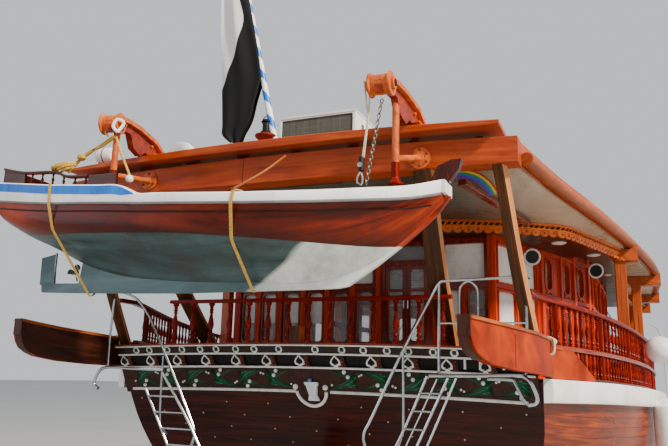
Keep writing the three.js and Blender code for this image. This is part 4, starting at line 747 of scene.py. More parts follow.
def bulwark(side, segments):
    """Two rails on turned balusters aft, a planked bulwark with its capping forward."""
    piece = Piece()

    def rail(aft, up, wide, high, stuff):
        def section(y):
            x, z = deck_half(y) - RAIL_INSET, sheer(y) + up(y)
            cut = 0.012
            return ((x - wide, z), (x + wide, z), (x + wide + cut, z + cut), (x + wide + cut, z + high - cut),
                    (x + wide, z + high), (x - wide, z + high), (x - wide - cut, z + high - cut),
                    (x - wide - cut, z + cut))
        loft(piece, stuff, strip_rings(side, steps(aft, RAIL_FORE, 44), section))

    rail(-12.80, lambda y: 0.048, 0.045, 0.055, "mahogany")
    rail(-13.12, lambda y: 0.48, 0.048, 0.065, "rosewood")
    rail(-13.70, lambda y: rail_top(y) - sheer(y) - 0.07, 0.058, 0.068, "cherry")

    def spot(y):
        return side * (deck_half(y) - RAIL_INSET)

    for y in steps(-12.70, RAIL_FORE - 0.12, 88):
        x = spot(y)
        baluster(piece, "cherry", (x, y, sheer(y) + 0.54), (x, y, rail_top(y) - 0.065), 0.034, segments)
    for y in steps(-12.0, RAIL_FORE - 0.10, 108):
        x = spot(y)
        baluster(piece, "cherry", (x, y, sheer(y) + 0.10), (x, y, sheer(y) + 0.485), 0.028, segments)
    for y in (-12.60, -11.10, -9.58, -6.30, -2.30, 1.50, 3.52):
        x = spot(y)
        bar(piece, "cherry", (x, y, sheer(y) + 0.09), (x, y, rail_top(y) - 0.06), 0.085, 0.085, Y)
    bow = steps(BOW_BULWARK["from"], BOW_BULWARK["to"], 42)

    def planking(y):
        x, z = max(deck_half(y) - 0.02, BOW_BULWARK["least"]), sheer(y)
        inner = max(x - BOW_BULWARK["thick"], BOW_BULWARK["clear"])
        return oblong(inner, x, z + 0.045, z + BOW_BULWARK["up"])

    def capping(y):
        x, z = deck_half(y) - 0.07, sheer(y) + 0.71
        inner, outer = max(x - 0.10, BOW_BULWARK["clear"]), max(x, BOW_BULWARK["clear"]) + 0.10
        return ((inner, z), (outer, z), (outer + 0.01, z + 0.03), (outer, z + 0.078), (inner, z + 0.078))

    loft(piece, "bow_planks", strip_rings(side, bow, planking))
    loft(piece, "mahogany", strip_rings(side, bow, capping))
    for y in steps(4.0, 13.6, 20):
        x = deck_half(y) - 0.15
        bar(piece, "mahogany", (side * x, y, sheer(y) + 0.06), (side * x, y, sheer(y) + 0.71), 0.09, 0.09, Y)
    return piece


# Stern ornament, on the raked plane of the transom.
ARCH, ARCH_HALF = 0.06, 3.46
STUD_X = (-3.04, -2.77, -2.41, -2.12, -1.77, -1.47, -1.11, -0.78, -0.35, 0.26, 0.69, 1.03, 1.39, 1.71, 2.07,
          2.37)
SPADE_X = (-3.35, -2.81, -2.27, -1.72, -1.16, -0.61, -0.04, 0.55, 1.12, 1.68, 2.24, 2.77)
VASE_X, VASE_Z = 0.10, 2.74
RAKE_OUT = Vector((0, -1, -TRANSOM_RAKE)).normalized()


def on_transom(x, z, out=0.0):
    """A place on the arched frieze, out metres aft of the transom plane."""
    z -= ARCH * (x / ARCH_HALF) ** 2
    return Vector((x, transom_y(z) - out, z))


def transom_bar(piece, stuff, z0, z1, out0, out1, x0=-3.45, x1=3.45, count=24):
    loft(piece, stuff, [[on_transom(x, z, out) for out, z in oblong(out0, out1, z0, z1)]
                        for x in steps(x0, x1, count)])


def transom_bead(piece, z, out, radius, x0=-3.43, x1=3.43):
    tube(piece, "bead", [on_transom(x, z, out) for x in steps(x0, x1, 24)], radius, 8)


SPADE = ((0.0, 0.062), (0.018, 0.040), (0.045, 0.014), (0.058, -0.012), (0.052, -0.036), (0.030, -0.044),
         (0.012, -0.034), (0.026, -0.058), (-0.026, -0.058), (-0.012, -0.034), (-0.030, -0.044),
         (-0.052, -0.036), (-0.058, -0.012), (-0.045, 0.014), (-0.018, 0.040))


def spade(piece, x):
    """White-edged spade on a small bracket, with a carved scroll beside it."""
    mid = 3.19
    transom_bar(piece, "carved", 3.10, 3.275, 0.05, 0.118, x - 0.08, x + 0.15, 2)
    for grow, out, stuff in ((1.48, 0.116, "bead"), (0.92, 0.130, "shadow")):
        loop = [(u * grow, v * grow) for u, v in SPADE]
        plate(piece, stuff, [loop], lambda u, v, w, out=out: on_transom(x + u, mid + v, out + w), 0.012)
    scroll = [(0.080, -0.070), (0.105, -0.055), (0.085, -0.025), (0.115, -0.005), (0.095, 0.025),
              (0.120, 0.045), (0.150, -0.060)]
    for k, (u, v) in enumerate(scroll):
        ball(piece, "red_scroll", on_transom(x + u, mid + v, 0.125), 0.017 if k % 2 else 0.013, 6)


def blade(piece, stuff, path, wide, out):
    """Carved leaf in relief along a curve of (x, z)."""
    rings = []
    last = len(path) - 1
    for i, (u, v) in enumerate(path):
        a, b = path[max(i - 1, 0)], path[min(i + 1, last)]
        length = math.dist(a, b)
        nu, nv = -(b[1] - a[1]) / length, (b[0] - a[0]) / length
        half = wide * 0.5 * math.sin(math.pi * (0.06 + 0.88 * i / last))
        rings.append([on_transom(u + nu * half, v + nv * half, out - 0.012), on_transom(u, v, out + 0.006),
                      on_transom(u - nu * half, v - nv * half, out - 0.012), on_transom(u, v, out - 0.02)])
    loft(piece, stuff, rings)


LEAF_LOW, LEAF_HIGH, FRIEZE_HALF = 2.775, 3.065, 3.38


def foliage(piece):
    """Waves of leaves either side of the vase, with a pair of white buds on each."""
    tints = ("leaf_dark", "leaf", "leaf_dark", "leaf_light")
    for side in (1, -1):
        for k in range(6):
            start = VASE_X + side * (0.24 + 0.50 * k)
            rises = k % 2 == 0
            for up in (rises, not rises):
                for i in range(9):
                    first, last = (0.01 + 0.085 * i, 0.02 + 0.02 * i), (0.99 - 0.01 * i, 0.99 - 0.105 * i)
                    bend = (0.62 + 0.03 * i, 0.10 + 0.02 * i)
                    path = []
                    for t in steps(0.0, 1.0, 8):
                        p, q = ((1 - t) ** 2 * a + 2 * t * (1 - t) * b + t * t * c
                                for a, b, c in zip(first, bend, last))
                        height = LEAF_LOW + (LEAF_HIGH - LEAF_LOW) * (q if up else 1 - q)
                        path.append((start + side * 0.52 * p, height))
                    front = up == rises
                    if abs(path[-1][0]) < FRIEZE_HALF:
                        blade(piece, tints[i % 4] if front else "leaf_dark", path, 0.046 if front else 0.056,
                              0.132 if front else 0.124)
            heights = (3.035, 2.965) if rises else (2.865, 2.795)
            for n, z in enumerate(heights):
                x = start + side * (0.33 + 0.05 * n)
                if abs(x) < FRIEZE_HALF:
                    ball(piece, "bead", on_transom(x, z, 0.145), 0.031, 10)
            for u, v in ((0.10, 2.84 if rises else 3.00), (0.56, 2.985 if rises else 2.86)):
                if abs(start + side * u) < FRIEZE_HALF:
                    ball(piece, "bead", on_transom(start + side * u, v, 0.145), 0.018, 8)


def frieze():
    piece = Piece()
    for stuff, z0, z1, out in (("frieze_ground", 2.68, 3.10, 0.12), ("shadow", 3.09, 3.28, 0.08),
                               ("carved", 3.27, 3.43, 0.13), ("rosewood", 3.415, 3.45, 0.17)):
        transom_bar(piece, stuff, z0, z1, -0.001, out)
    for z, out, radius in ((3.415, 0.165, 0.012), (3.29, 0.135, 0.015), (3.09, 0.125, 0.016)):
        transom_bead(piece, z, out, radius)
    transom_bead(piece, 2.735, 0.125, 0.024, -3.30, -0.19)
    transom_bead(piece, 2.735, 0.125, 0.024, 0.39, 3.30)
    for x in STUD_X:
        lathe(piece, "bead", [(0.058, 0.0), (0.058, 0.012), (0.045, 0.016), (0.043, 0.004)],
              on_transom(x, 3.357, 0.13), RAKE_OUT, 16)
        for k in range(4):
            t = math.pi / 4 + k * math.pi / 2
            ball(piece, "leaf_dark", on_transom(x + 0.019 * math.cos(t), 3.357 + 0.019 * math.sin(t), 0.138),
                 0.018, 8)
    for x in SPADE_X:
        spade(piece, x)
    y = transom_y(3.19)
    for x in (2.50, 2.71, 3.03):
        block(piece, "bead", x - 0.012, x + 0.012, y - 0.16, y - 0.10, 3.11, 3.275)
    foliage(piece)
    vase = [(-0.115, 0.11), (-0.105, 0.135), (0.105, 0.135), (0.115, 0.11), (0.085, 0.07), (0.062, -0.06),
            (0.085, -0.115), (0.085, -0.145), (-0.085, -0.145), (-0.085, -0.115), (-0.062, -0.06),
            (-0.085, 0.07)]
    plate(piece, "vase", [vase], lambda u, v, w: on_transom(VASE_X + u, VASE_Z + v, 0.12 + w), 0.05)
    ball(piece, "vase_blue", on_transom(VASE_X - 0.02, VASE_Z + 0.16, 0.14), 0.035, 8)
    arc = [on_transom(VASE_X - 0.03 + 0.25 * math.sin(t), VASE_Z + 0.02 - 0.245 * math.cos(t), 0.125)
           for t in (math.radians(d) for d in range(-84, 85, 12))]
    tube(piece, "bead", arc, 0.026, 8)
    for x in (VASE_X - 0.28, VASE_X + 0.22):
        ball(piece, "bead", on_transom(x, 2.80, 0.14), 0.044, 12)
    return piece


def stern_balustrade():
    piece = Piece()
    y = -13.62
    for z, deep, high in ((4.076, 0.10, 0.034), (4.106, 0.075, 0.026)):
        section = oblong(y - deep / 2, y + deep / 2, z, z + high)
        loft(piece, "cherry", [[(x, *p) for p in section] for x in (-2.36, 2.36)])
    for i in range(14):
        x = -2.26 + 0.345 * i
        baluster(piece, "cherry", (x, y, 3.452 - ARCH * (x / ARCH_HALF) ** 2), (x, y, 4.08), 0.050, 14)
    return piece


def sill_box():
    """Small open-topped box that stands on the sill between two balusters."""
    piece = Piece()
    # The starboard face is in the bright davit paint as painted sunlight, the other faces in the dark post
    # wood as painted shade.
    for stuff, x0, x1, y0, y1, top in (
            ("post", -0.145, 0.02, -13.66, -13.64, 3.70), ("davit", 0.0, 0.022, -13.65, -13.46, 3.70),
            ("post", -0.145, -0.125, -13.65, -13.47, 3.70), ("post", -0.145, 0.02, -13.48, -13.46, 3.70),
            ("post", -0.125, 0.0, -13.64, -13.48, 3.48)):
        block(piece, stuff, x0, x1, y0, y1, 3.46, top, 0.05)
    return piece


WING_PLAN = named_rows(("y", "x", "thick", "low", "top"), (
    (-16.08, 3.00, 0.13, 3.42, 3.60), (-16.04, 3.01, 0.13, 3.33, 3.60), (-15.95, 3.04, 0.13, 3.25, 3.595),
    (-15.80, 3.09, 0.12, 3.19, 3.59), (-15.60, 3.16, 0.10, 3.14, 3.585), (-15.00, 3.33, 0.09, 3.09, 3.565),
    (-14.20, 3.48, 0.09, 3.06, 3.545), (-13.55, 3.55, 0.09, 3.05, 3.52)))
for at_y in (-13.0, -12.75, -12.45, -12.1, -11.75):
    foot_z = sheer(at_y) + 0.063
    WING_PLAN.append({"y": at_y, "x": deck_half(at_y) - 0.035, "thick": 0.07, "low": foot_z,
                      "top": 3.43 + (foot_z + 0.03 - 3.43) * max(0.0, (at_y + 12.45) / 0.70)})


def wing(side):
    """Quarter plank that runs on aft of the transom, with its capping, dark lining and rope whipping."""
    piece = Piece()

    def run(stuff, rows, section):
        rings = []
        for row in rows:
            ring = section(row["x"], row["thick"], row["low"], row["top"])
            rings.append([(side * x, row["y"], z) for x, z in ring])
        loft(piece, stuff, rings)

    run("wing", WING_PLAN, lambda x, thick, low, top: oblong(x, x + thick, low, top))
    run("wing_dark", WING_PLAN, lambda x, thick, low, top: oblong(x - 0.006, x + 0.004, low + 0.004,
                                                                  top - 0.004))
    # Painted shade: a dark strip under the curved foot of the aft end.
    run("wing_dark", WING_PLAN[:4], lambda x, thick, low, top: oblong(
        x - 0.008, x + thick - 0.03, low - 0.012, low + 0.02))
    run("wing_cap", WING_PLAN[:10], lambda x, thick, low, top: (
        (x - 0.02, top - 0.01), (x + thick + 0.018, top - 0.01), (x + thick + 0.022, top + 0.02),
        (x + thick, top + 0.032), (x - 0.02, top + 0.032)))
    # Painted shade: a dark block over the aft-facing end.
    last = WING_PLAN[0]
    block(piece, "wing_dark", *sorted((side * (last["x"] - 0.01), side * (last["x"] + last["thick"]))),
          last["y"] - 0.014, last["y"] + 0.004, last["low"] - 0.005, last["top"] + 0.034, 0.2)
    seam = -15.02
    x = along(WING_PLAN, "x", seam) + along(WING_PLAN, "thick", seam)
    block(piece, "wing_dark", *sorted((side * x, side * (x + 0.004))), seam, seam + 0.006,
          along(WING_PLAN, "low", seam) + 0.02, 3.50, 0.1)
    for k in range(5):
        y = -13.30 - 0.032 * k
        x = along(WING_PLAN, "x", y)
        low, top = along(WING_PLAN, "low", y) + 0.30, along(WING_PLAN, "top", y) + 0.035
        loop = [(side * (x - 0.03), y, low), (side * (x + 0.12), y, low), (side * (x + 0.125), y, top),
                (side * (x - 0.03), y, top)]
        tube(piece, "rope", curve(loop + [loop[0]], 4)[:-1], 0.013, 7, closed=True)
    ball(piece, "rope", (side * 3.68, -13.38, 3.50), 0.045, 10)
    return piece


OUTER_POST = {"foot": (3.41, -13.24, 3.10), "head": (3.22, -14.89, 5.583), "wide": 0.15, "deep": 0.16,
              "turn": 20}
INNER_POST = {"foot": (2.05, -12.47, 3.06), "head": (2.27, -14.91, 5.596), "wide": 0.26, "deep": 0.15,
              "turn": 12}


def raked_post(side, post):
    """Heavy raked post, hewn a little unevenly."""
    piece = Piece()
    turn = math.radians(post["turn"])
    rings = []
    for t in steps(0.0, 1.0, 12):
        x, y, z = (a + t * (b - a) for a, b in zip(post["foot"], post["head"]))
        x += 0.010 * math.sin(7 * t + side)
        wide, deep, cut = post["wide"] / 2 + 0.006 * math.sin(5 * t), post["deep"], 0.018
        ring = []
        for u, v in ((-wide + cut, 0), (wide - cut, 0), (wide, cut), (wide, deep - cut), (wide - cut, deep),
                     (-wide + cut, deep), (-wide, deep - cut), (-wide, cut)):
            ring.append((side * (x + u * math.cos(turn) + v * math.sin(turn)),
                         y - u * math.sin(turn) + v * math.cos(turn), z))
        rings.append(ring)
    loft(piece, "post", rings)
    # A thin skin of lighter wood over the side face towards the sun is painted sunlight; the dark post wood
    # under it stands for the faces in shade.
    out = Vector((math.cos(turn), -side * math.sin(turn), 0)) * 0.003
    a, b = (2, 3) if side > 0 else (6, 7)
    loft(piece, "post_sunlit_side", [[Vector(ring[a]), Vector(ring[b]), Vector(ring[b]) + out, Vector(ring[a]) + out]
                              for ring in rings])
    return piece


def roof_edge(side):
    """Round edge tube and upright board along the roof, and the posts that carry them."""
    piece = Piece()
    ys = steps(ROOF_AFT, ROOF_FORE, 40)
    tube(piece, "tube_paint", [(side * (roof_half(y) + 0.096), y, 5.70) for y in ys], 0.09, 14)
    loft(piece, "terracotta", strip_rings(side, ys, lambda y: (
        (roof_half(y) + 0.004, 5.62), (roof_half(y) + 0.028, 5.62), (roof_half(y) + 0.034, 5.93),
        (roof_half(y) + 0.004, 5.935))))
    for y in (-8.3, -4.3, -0.3, 3.0):
        half = roof_half(y)
        x = min(half - 0.12, deck_half(y) - 0.38)
        bar(piece, "side_post", (side * x, y, deck_top(x, y)), (side * x, y, 5.42), 0.22, 0.22, Y, 0.08)
        outline = ((x - 0.30, 5.585), (x - 0.10, 5.36), (half + 0.20, 5.36), (half + 0.20, 5.66),
                   (half + 0.055, 5.66), (half + 0.055, 5.585))
        loft(piece, "side_post", [[(side * u, v, w) for u, w in outline] for v in (y - 0.15, y + 0.15)])
    return piece


BEAM_FACE = -14.93


def arched_bar(piece, x0, x1, y0, y1, low, top, arch):
    """Square timber across the stern, its top bowed by arch at the ends and its foot by a third of that."""
    rings = []
    for x in steps(x0, x1, 24):
        drop = arch * (x / 3.5) ** 2
        c = 0.012
        z0, z1 = low - drop * 0.3, top - drop
        rings.append([(x, y0 + c, z0), (x, y1 - c, z0), (x, y1, z0 + c), (x, y1, z1 - c), (x, y1 - c, z1),
                      (x, y0 + c, z1), (x, y0, z1 - c), (x, y0, z0 + c)])
    loft(piece, "beam", rings)


def stern_beam():
    piece = Piece()
    arched_bar(piece, -3.5, 3.5, BEAM_FACE, BEAM_FACE + 0.30, 5.61, 6.01, 0.09)
    block(piece, "wing_dark", -0.355, -0.349, BEAM_FACE - 0.004, BEAM_FACE + 0.01, 5.62, 6.0, 0.1)
    return piece


def roof_plank():
    piece = Piece()
    arched_bar(piece, -3.45, 3.30, -15.08, -14.45, 6.07, 6.20, 0.11)
    for x in steps(-3.1, 3.0, 7):
        drop = 0.1 * (x / 3.5) ** 2
        block(piece, "wing_dark", x - 0.05, x + 0.05, -14.80, -14.60, 5.95 - drop, 6.08 - drop, 0.1)
    return piece


def corner_arches():
    """Painted quarter arches between the posts, and the rafters that run in from them under the roof."""
    piece = Piece()
    names = ("red", "yellow", "green", "sky", "violet")
    for side in (1, -1):
        for k, name in enumerate(names):
            outer, inner = 0.56 - 0.025 * k, 0.56 - 0.025 * (k + 1)
            rings = []
            for t in (math.radians(d) for d in steps(22, 118, 22)):
                rings.append([(side * (2.691 + r * math.cos(t)), y, min(5.077 + r * math.sin(t), 5.596))
                              for r, y in ((outer, -14.68), (outer, -14.64), (inner, -14.64),
                                           (inner, -14.68))])
            loft(piece, "arch_" + name, rings)
        bar(piece, "rosewood", (side * 2.69, -14.38, 5.54), (side * 3.17, -11.58, 5.54), 0.12, 0.08, Z)
    return piece


# Saloon: walls built as plates with their lights cut, then posts, mouldings and sunk panels.
SALOON_AFT, SALOON_FORE, WALL_TOP, WALL_THICK = -11.2, 1.6, 5.585, 0.08
PILASTER_Y, MOULDING_Y, CORNER_Y, FORE_FACE = -11.222, -11.214, -11.215, 1.62
SALOON_SIDE = ((2.50, -11.2), (3.12, -9.4), (3.88, -7.2), (4.02, -2.0), (3.90, 1.6))
LOW_LIGHT, HIGH_LIGHT, NARROW_LIGHT = (3.60, 4.50), (4.66, 5.32), (4.72, 5.32)
AFT_LOW = ((-2.38, -2.12), (-1.95, -1.67), (-1.46, -1.18), (-0.97, -0.69), (-0.47, -0.18), (0.02, 0.31),
           (1.64, 1.92), (2.08, 2.36))
AFT_HIGH = ((-2.38, -1.67), (-1.46, -0.69), (-0.47, 0.31), (1.66, 2.36))
AFT_PILASTERS, AFT_HALF_PILASTERS = (-1.565, -0.58, 0.435, 1.50), (-2.035, -1.075, -0.08, 2.0)
WAIST_TOP = 4.63
DOOR_MID, DOOR_HALF, DOOR_LOW, DOOR_TOP = 0.955, 0.395, 3.10, 4.98
SIDE_WIDE = ((-11.02, -10.40), (-10.15, -9.62), (-6.80, -5.90), (-5.60, -4.70), (-4.40, -3.50),
             (-3.20, -2.30), (-1.70, -0.80), (-0.50, 0.40))
SIDE_NARROW = ((-9.26, -9.00), (-8.47, -8.22), (-7.84, -7.54))
SIDE_PILASTERS = (-10.28, -9.44, -8.62, -8.02, -7.32, -6.95, -5.75, -4.55, -3.35, -1.95, -0.65, 0.9)
CORNICE = ((0.0, -12.28), (0.95, -12.20), (1.84, -12.00), (2.72, -11.64), (3.40, -11.17), (3.72, -10.86),
           (4.05, -9.90), (4.50, -8.52))


def framed(piece, u0, u1, v0, v1, place, radius=0.05, out=0.018, wide=0.032, stuff="varnish"):
    """Raised moulding round an opening."""
    plate(piece, stuff, [rounded(u0 - wide, u1 + wide, v0 - wide, v1 + wide, radius + wide * 0.6),
                         rounded(u0, u1, v0, v1, radius)], place, -out)


def panel(piece, u0, u1, v0, v1, place, stuff="mahogany"):
    """Fielded panel inside its own moulding."""
    framed(piece, u0, u1, v0, v1, place, 0.012, 0.014, 0.018)
    plate(piece, stuff, [rounded(u0 + 0.02, u1 - 0.02, v0 + 0.02, v1 - 0.02, 0.012)], place, -0.010)


def aft_wall():
    piece = Piece()

    def place(u, v, w):
        return (u, SALOON_AFT + w, v)

    half = SALOON_SIDE[0][0] - WALL_THICK - 0.003
    bottom = deck_top(0, SALOON_AFT) + 0.003
    high = [(a, b, HIGH_LIGHT[0]) for a, b in AFT_HIGH] + [(DOOR_MID - 0.355, DOOR_MID + 0.355, 5.06)]
    holes = [rounded(a, b, *LOW_LIGHT, 0.07) for a, b in AFT_LOW]
    holes += [rounded(a, b, low, HIGH_LIGHT[1], 0.02) for a, b, low in high]
    holes.append(rounded(DOOR_MID - DOOR_HALF - 0.008, DOOR_MID + DOOR_HALF + 0.008, DOOR_LOW - 0.008,
                         DOOR_TOP + 0.008, 0.004, 1))
    plate(piece, "varnish_dark", [rounded(-half, half, bottom, WALL_TOP, 0.003, 1)] + holes, place,
          WALL_THICK)
    for a, b in AFT_LOW:
        framed(piece, a, b, *LOW_LIGHT, place, 0.07, stuff="varnish_dark")
        panel(piece, a - 0.01, b + 0.01, bottom + 0.12, 3.50, place)
    for a, b, low in high:
        framed(piece, a, b, low, HIGH_LIGHT[1], place, 0.02, stuff="varnish_dark")
    for spots, top in ((AFT_PILASTERS, WALL_TOP), (AFT_HALF_PILASTERS, WAIST_TOP)):
        for x in spots:
            bar(piece, "varnish", (x, PILASTER_Y, bottom), (x, PILASTER_Y, top), 0.10, 0.056, Y)
    for x0, x1 in ((-half, DOOR_MID - DOOR_HALF - 0.07), (DOOR_MID + DOOR_HALF + 0.07, half)):
        for z in (4.58, bottom + 0.05):
            bar(piece, "varnish_dark", (x0, MOULDING_Y, z), (x1, MOULDING_Y, z), 0.042, 0.10, Z)
    bar(piece, "varnish_dark", (-half, MOULDING_Y, 5.44), (half, MOULDING_Y, 5.44), 0.042, 0.10, Z)
    for side in (1, -1):
        x = side * 2.49
        bar(piece, "varnish", (x, CORNER_Y, bottom), (x, CORNER_Y, WALL_TOP), 0.14, 0.10, Y)
    return piece


def side_bay(side, start, end):
    """A straight bay of the side wall: place for (u, v, w), u at a y, its inward direction and its length."""
    (x0, y0), (x1, y1) = start, end
    length = math.hypot(x1 - x0, y1 - y0)
    ahead = Vector(((x1 - x0) / length, (y1 - y0) / length, 0))
    inward = Vector((-ahead.y, ahead.x, 0))

    def place(u, v, w):
        p = Vector((x0, y0, 0)) + ahead * u + inward * w
        return (side * p.x, p.y, v)

    return place, lambda y: (y - y0) * length / (y1 - y0), inward, length


def side_wall(side):
    piece = Piece()
    for (x0, y0), (x1, y1) in zip(SALOON_SIDE, SALOON_SIDE[1:]):
        place, run, inward, length = side_bay(side, (x0, y0), (x1, y1))
        bottom = min(deck_top(x0, y0), deck_top(x1, y1)) + 0.01
        wide = [(run(a), run(b)) for a, b in SIDE_WIDE if y0 < a and b < y1]
        narrow = [(run(a), run(b)) for a, b in SIDE_NARROW if y0 < a and b < y1]
        holes = [rounded(a, b, *heights, radius) for a, b in wide
                 for heights, radius in ((LOW_LIGHT, 0.07), (HIGH_LIGHT, 0.03))]
        holes += [rounded(a, b, *NARROW_LIGHT, (b - a) / 2 - 0.004, 6) for a, b in narrow]
        plate(piece, "varnish", [rounded(0.0, length, bottom, WALL_TOP, 0.003, 1)] + holes, place, WALL_THICK)
        for a, b in wide:
            framed(piece, a, b, *LOW_LIGHT, place, 0.07)
            framed(piece, a, b, *HIGH_LIGHT, place, 0.03)
            panel(piece, a + 0.02, (a + b) / 2 - 0.03, bottom + 0.16, 3.50, place)
            panel(piece, (a + b) / 2 + 0.03, b - 0.02, bottom + 0.16, 3.50, place)
        for a, b in narrow:
            framed(piece, a, b, *NARROW_LIGHT, place, (b - a) / 2 - 0.004)
            mid = (a + b) / 2
            oval = [(mid + 0.07 * math.cos(t), 4.55 + 0.095 * math.sin(t)) for t in angles(16)]
            plate(piece, "mahogany", [oval], place, -0.016)
            framed(piece, mid - 0.10, mid + 0.10, 4.43, 4.67, place, 0.03, 0.02, 0.02)
            panel(piece, mid - 0.10, mid + 0.10, 3.52, 4.34, place)
            panel(piece, mid - 0.10, mid + 0.10, bottom + 0.16, 3.42, place)
        for y in SIDE_PILASTERS:
            if y0 < y < y1:
                p, q = Vector(place(run(y), bottom, -0.02)), Vector(place(run(y), WALL_TOP, -0.02))
                bar(piece, "varnish", p, q, 0.10, 0.06, Vector((side * inward.x, inward.y, 0)))
        for z, high in ((4.58, 0.08), (5.44, 0.09), (bottom + 0.06, 0.11)):
            bar(piece, "varnish", place(0.0, z, -0.014), place(length, z, -0.014), 0.05, high, Z)
    return piece


def front_wall():
    piece = Piece()

    def place(u, v, w):
        return (u, SALOON_FORE - w, v)

    half = SALOON_SIDE[-1][0] - WALL_THICK - 0.003
    bottom = deck_top(0, SALOON_FORE) + 0.003
    right = ((0.55, 1.30), (1.50, 2.25), (2.45, 3.20))
    lights = right + tuple((-b, -a) for a, b in right)
    holes = [rounded(a, b, 3.95, 5.10, 0.08) for a, b in lights]
    holes.append(rounded(-0.40, 0.40, bottom + 0.05, 4.95, 0.01, 1))
    plate(piece, "varnish", [rounded(-half, half, bottom, WALL_TOP, 0.003, 1)] + holes, place, WALL_THICK)
    for a, b in lights:
        framed(piece, a, b, 3.95, 5.10, place, 0.08)
        panel(piece, a, b, bottom + 0.15, 3.70, place)
    framed(piece, -0.40, 0.40, bottom + 0.05, 4.95, place, 0.01, 0.02, 0.06)
    for x in (-3.36, -2.35, -1.40, -0.49, 0.49, 1.40, 2.35, 3.36):
        bar(piece, "varnish", (x, FORE_FACE, bottom), (x, FORE_FACE, WALL_TOP), 0.09, 0.05, Y)
    for x0, x1 in ((-half, -0.45), (0.45, half)):
        for z in (3.80, 5.25):
            bar(piece, "varnish", (x0, FORE_FACE, z), (x1, FORE_FACE, z), 0.05, 0.08, Z)
    return piece


def blinds():
    """Pale blinds drawn in the lights next to the after corners of the saloon."""
    piece = Piece()

    def aft(u, v, w):
        return (u, SALOON_AFT + 0.060 + w, v)

    for lights, numbers, low, top, radius in ((AFT_HIGH, (0, 2, 3), *HIGH_LIGHT, 0.02),
                                              (AFT_LOW, (0, 1, 2, 3, 6), LOW_LIGHT[0] + 0.35, LOW_LIGHT[1],
                                               0.068)):
        for number in numbers:
            plate(piece, "blind", [rounded(*lights[number], low, top, radius)], aft, 0.004)
    for side in (1, -1):
        place, run = side_bay(side, *SALOON_SIDE[:2])[:2]

        def inside(u, v, w, place=place):
            return place(u, v, 0.060 + w)

        for a, b in SIDE_WIDE[:2]:
            for heights, radius in ((HIGH_LIGHT, 0.03), (LOW_LIGHT, 0.07)):
                plate(piece, "blind", [rounded(run(a), run(b), *heights, radius)], inside, 0.004)
    return piece


def door_leaf(inner):
    """One leaf of the after door, with a tall glazed light over a sunk panel."""
    piece = Piece()
    a = DOOR_MID - DOOR_HALF if inner else DOOR_MID + 0.003
    b = DOOR_MID - 0.003 if inner else DOOR_MID + DOOR_HALF

    def place(u, v, w):
        return (u, SALOON_AFT + 0.012 + w, v)

    plate(piece, "varnish_dark", [rounded(a, b, DOOR_LOW, DOOR_TOP, 0.004, 1),
                                  rounded(a + 0.07, b - 0.07, 3.62, 4.90, 0.06)], place, 0.045)
    for inset, low, top, radius in ((0.07, 3.62, 4.90, 0.06), (0.08, 3.21, 3.51, 0.02)):
        framed(piece, a + inset, b - inset, low, top, place, radius, 0.010, 0.02, "varnish_dark")
    y = SALOON_AFT + 0.02
    bar(piece, "varnish_dark", (a + 0.06, y, 4.52), (b - 0.06, y, 4.52), 0.03, 0.05, Z)
    block(piece, "glass", a + 0.06, b - 0.06, SALOON_AFT + 0.030, SALOON_AFT + 0.036, 3.61, 4.91, 0.1)
    grip = b - 0.035 if inner else a + 0.035
    tube(piece, "steel", [(grip, SALOON_AFT + 0.01, 4.18), (grip, SALOON_AFT - 0.03, 4.19),
                          (grip, SALOON_AFT - 0.03, 4.33), (grip, SALOON_AFT + 0.01, 4.34)], 0.008, 8)
    return piece


LOBES, TOOTH_PITCH = 78, 0.10


def cornice():
    """Scalloped cornice round the after end of the saloon roof, with the panelled ceiling behind it."""
    piece = Piece()
    right = curve([(x, y, 0) for x, y in CORNICE], 6)
    path = [Vector((-p.x, p.y, 0)) for p in reversed(right[1:])] + right
    runs, total = [0.0], 0.0
    for a, b in zip(path, path[1:]):
        total += (b - a).length
        runs.append(total)

    def at(u, v, w):
        i = min(max(bisect_right(runs, u) - 1, 0), len(path) - 2)
        t = (u - runs[i]) / (runs[i + 1] - runs[i])
        a, b = path[max(i - 1, 0)], path[min(i + 2, len(path) - 1)]
        run = (b - a).normalized()
        p = path[i].lerp(path[i + 1], t) + Vector((run.y, -run.x, 0)) * w
        return Vector((p.x, p.y, v))

    pitch = total / LOBES
    for k in range(LOBES):
        u0 = k * pitch
        lobe = [(u0, 5.432)]
        lobe += [(u0 + pitch / 2 - pitch * 0.45 * math.cos(t), 5.425 - 0.052 * math.sin(t))
                 for t in (math.pi * i / 8 for i in range(9))]
        lobe += [(u0 + pitch, 5.432), (u0 + pitch, 5.50), (u0, 5.50)]
        plate(piece, "cornice", [lobe], at, 0.026)
        ball(piece, "shadow", at(u0 + pitch / 2, 5.436, 0.030), 0.013, 6)
    for stuff, z0, z1, w0, w1 in (("cornice", 5.485, 5.505, 0.0, 0.045), ("shadow", 5.50, 5.56, 0.0, 0.022),
                                  ("cornice", 5.555, 5.596, 0.0, 0.055)):
        section = oblong(w0, w1, z0, z1)
        loft(piece, stuff, [[at(u, z, w) for w, z in section] for u in steps(0.001, total - 0.001, 96)])
    count = int(total / TOOTH_PITCH)
    for k in range(count):
        u = (k + 0.5) * total / count
        bar(piece, "cornice", at(u - 0.024, 5.506, 0.036), at(u + 0.024, 5.556, 0.036), 0.03, 0.026, Z, 0.2)
    edge = [at(u, 0.0, 0.012) for u in steps(0.0, total, 40)]
    end = edge[-1].y
    wall = [(x + 0.075, y) for x, y in SALOON_SIDE if y < end]
    share = (end - SALOON_SIDE[1][1]) / (SALOON_SIDE[2][1] - SALOON_SIDE[1][1])
    wall.append((SALOON_SIDE[1][0] + share * (SALOON_SIDE[2][0] - SALOON_SIDE[1][0]) + 0.075, end))
    wall[0] = (wall[0][0], SALOON_AFT - 0.075)
    outline = [(p.x, p.y) for p in edge] + wall[::-1] + [(-x, y) for x, y in wall]
    plate(piece, "ceiling", [outline], lambda u, v, w: (u, v, 5.445 + w), 0.02)
    return piece


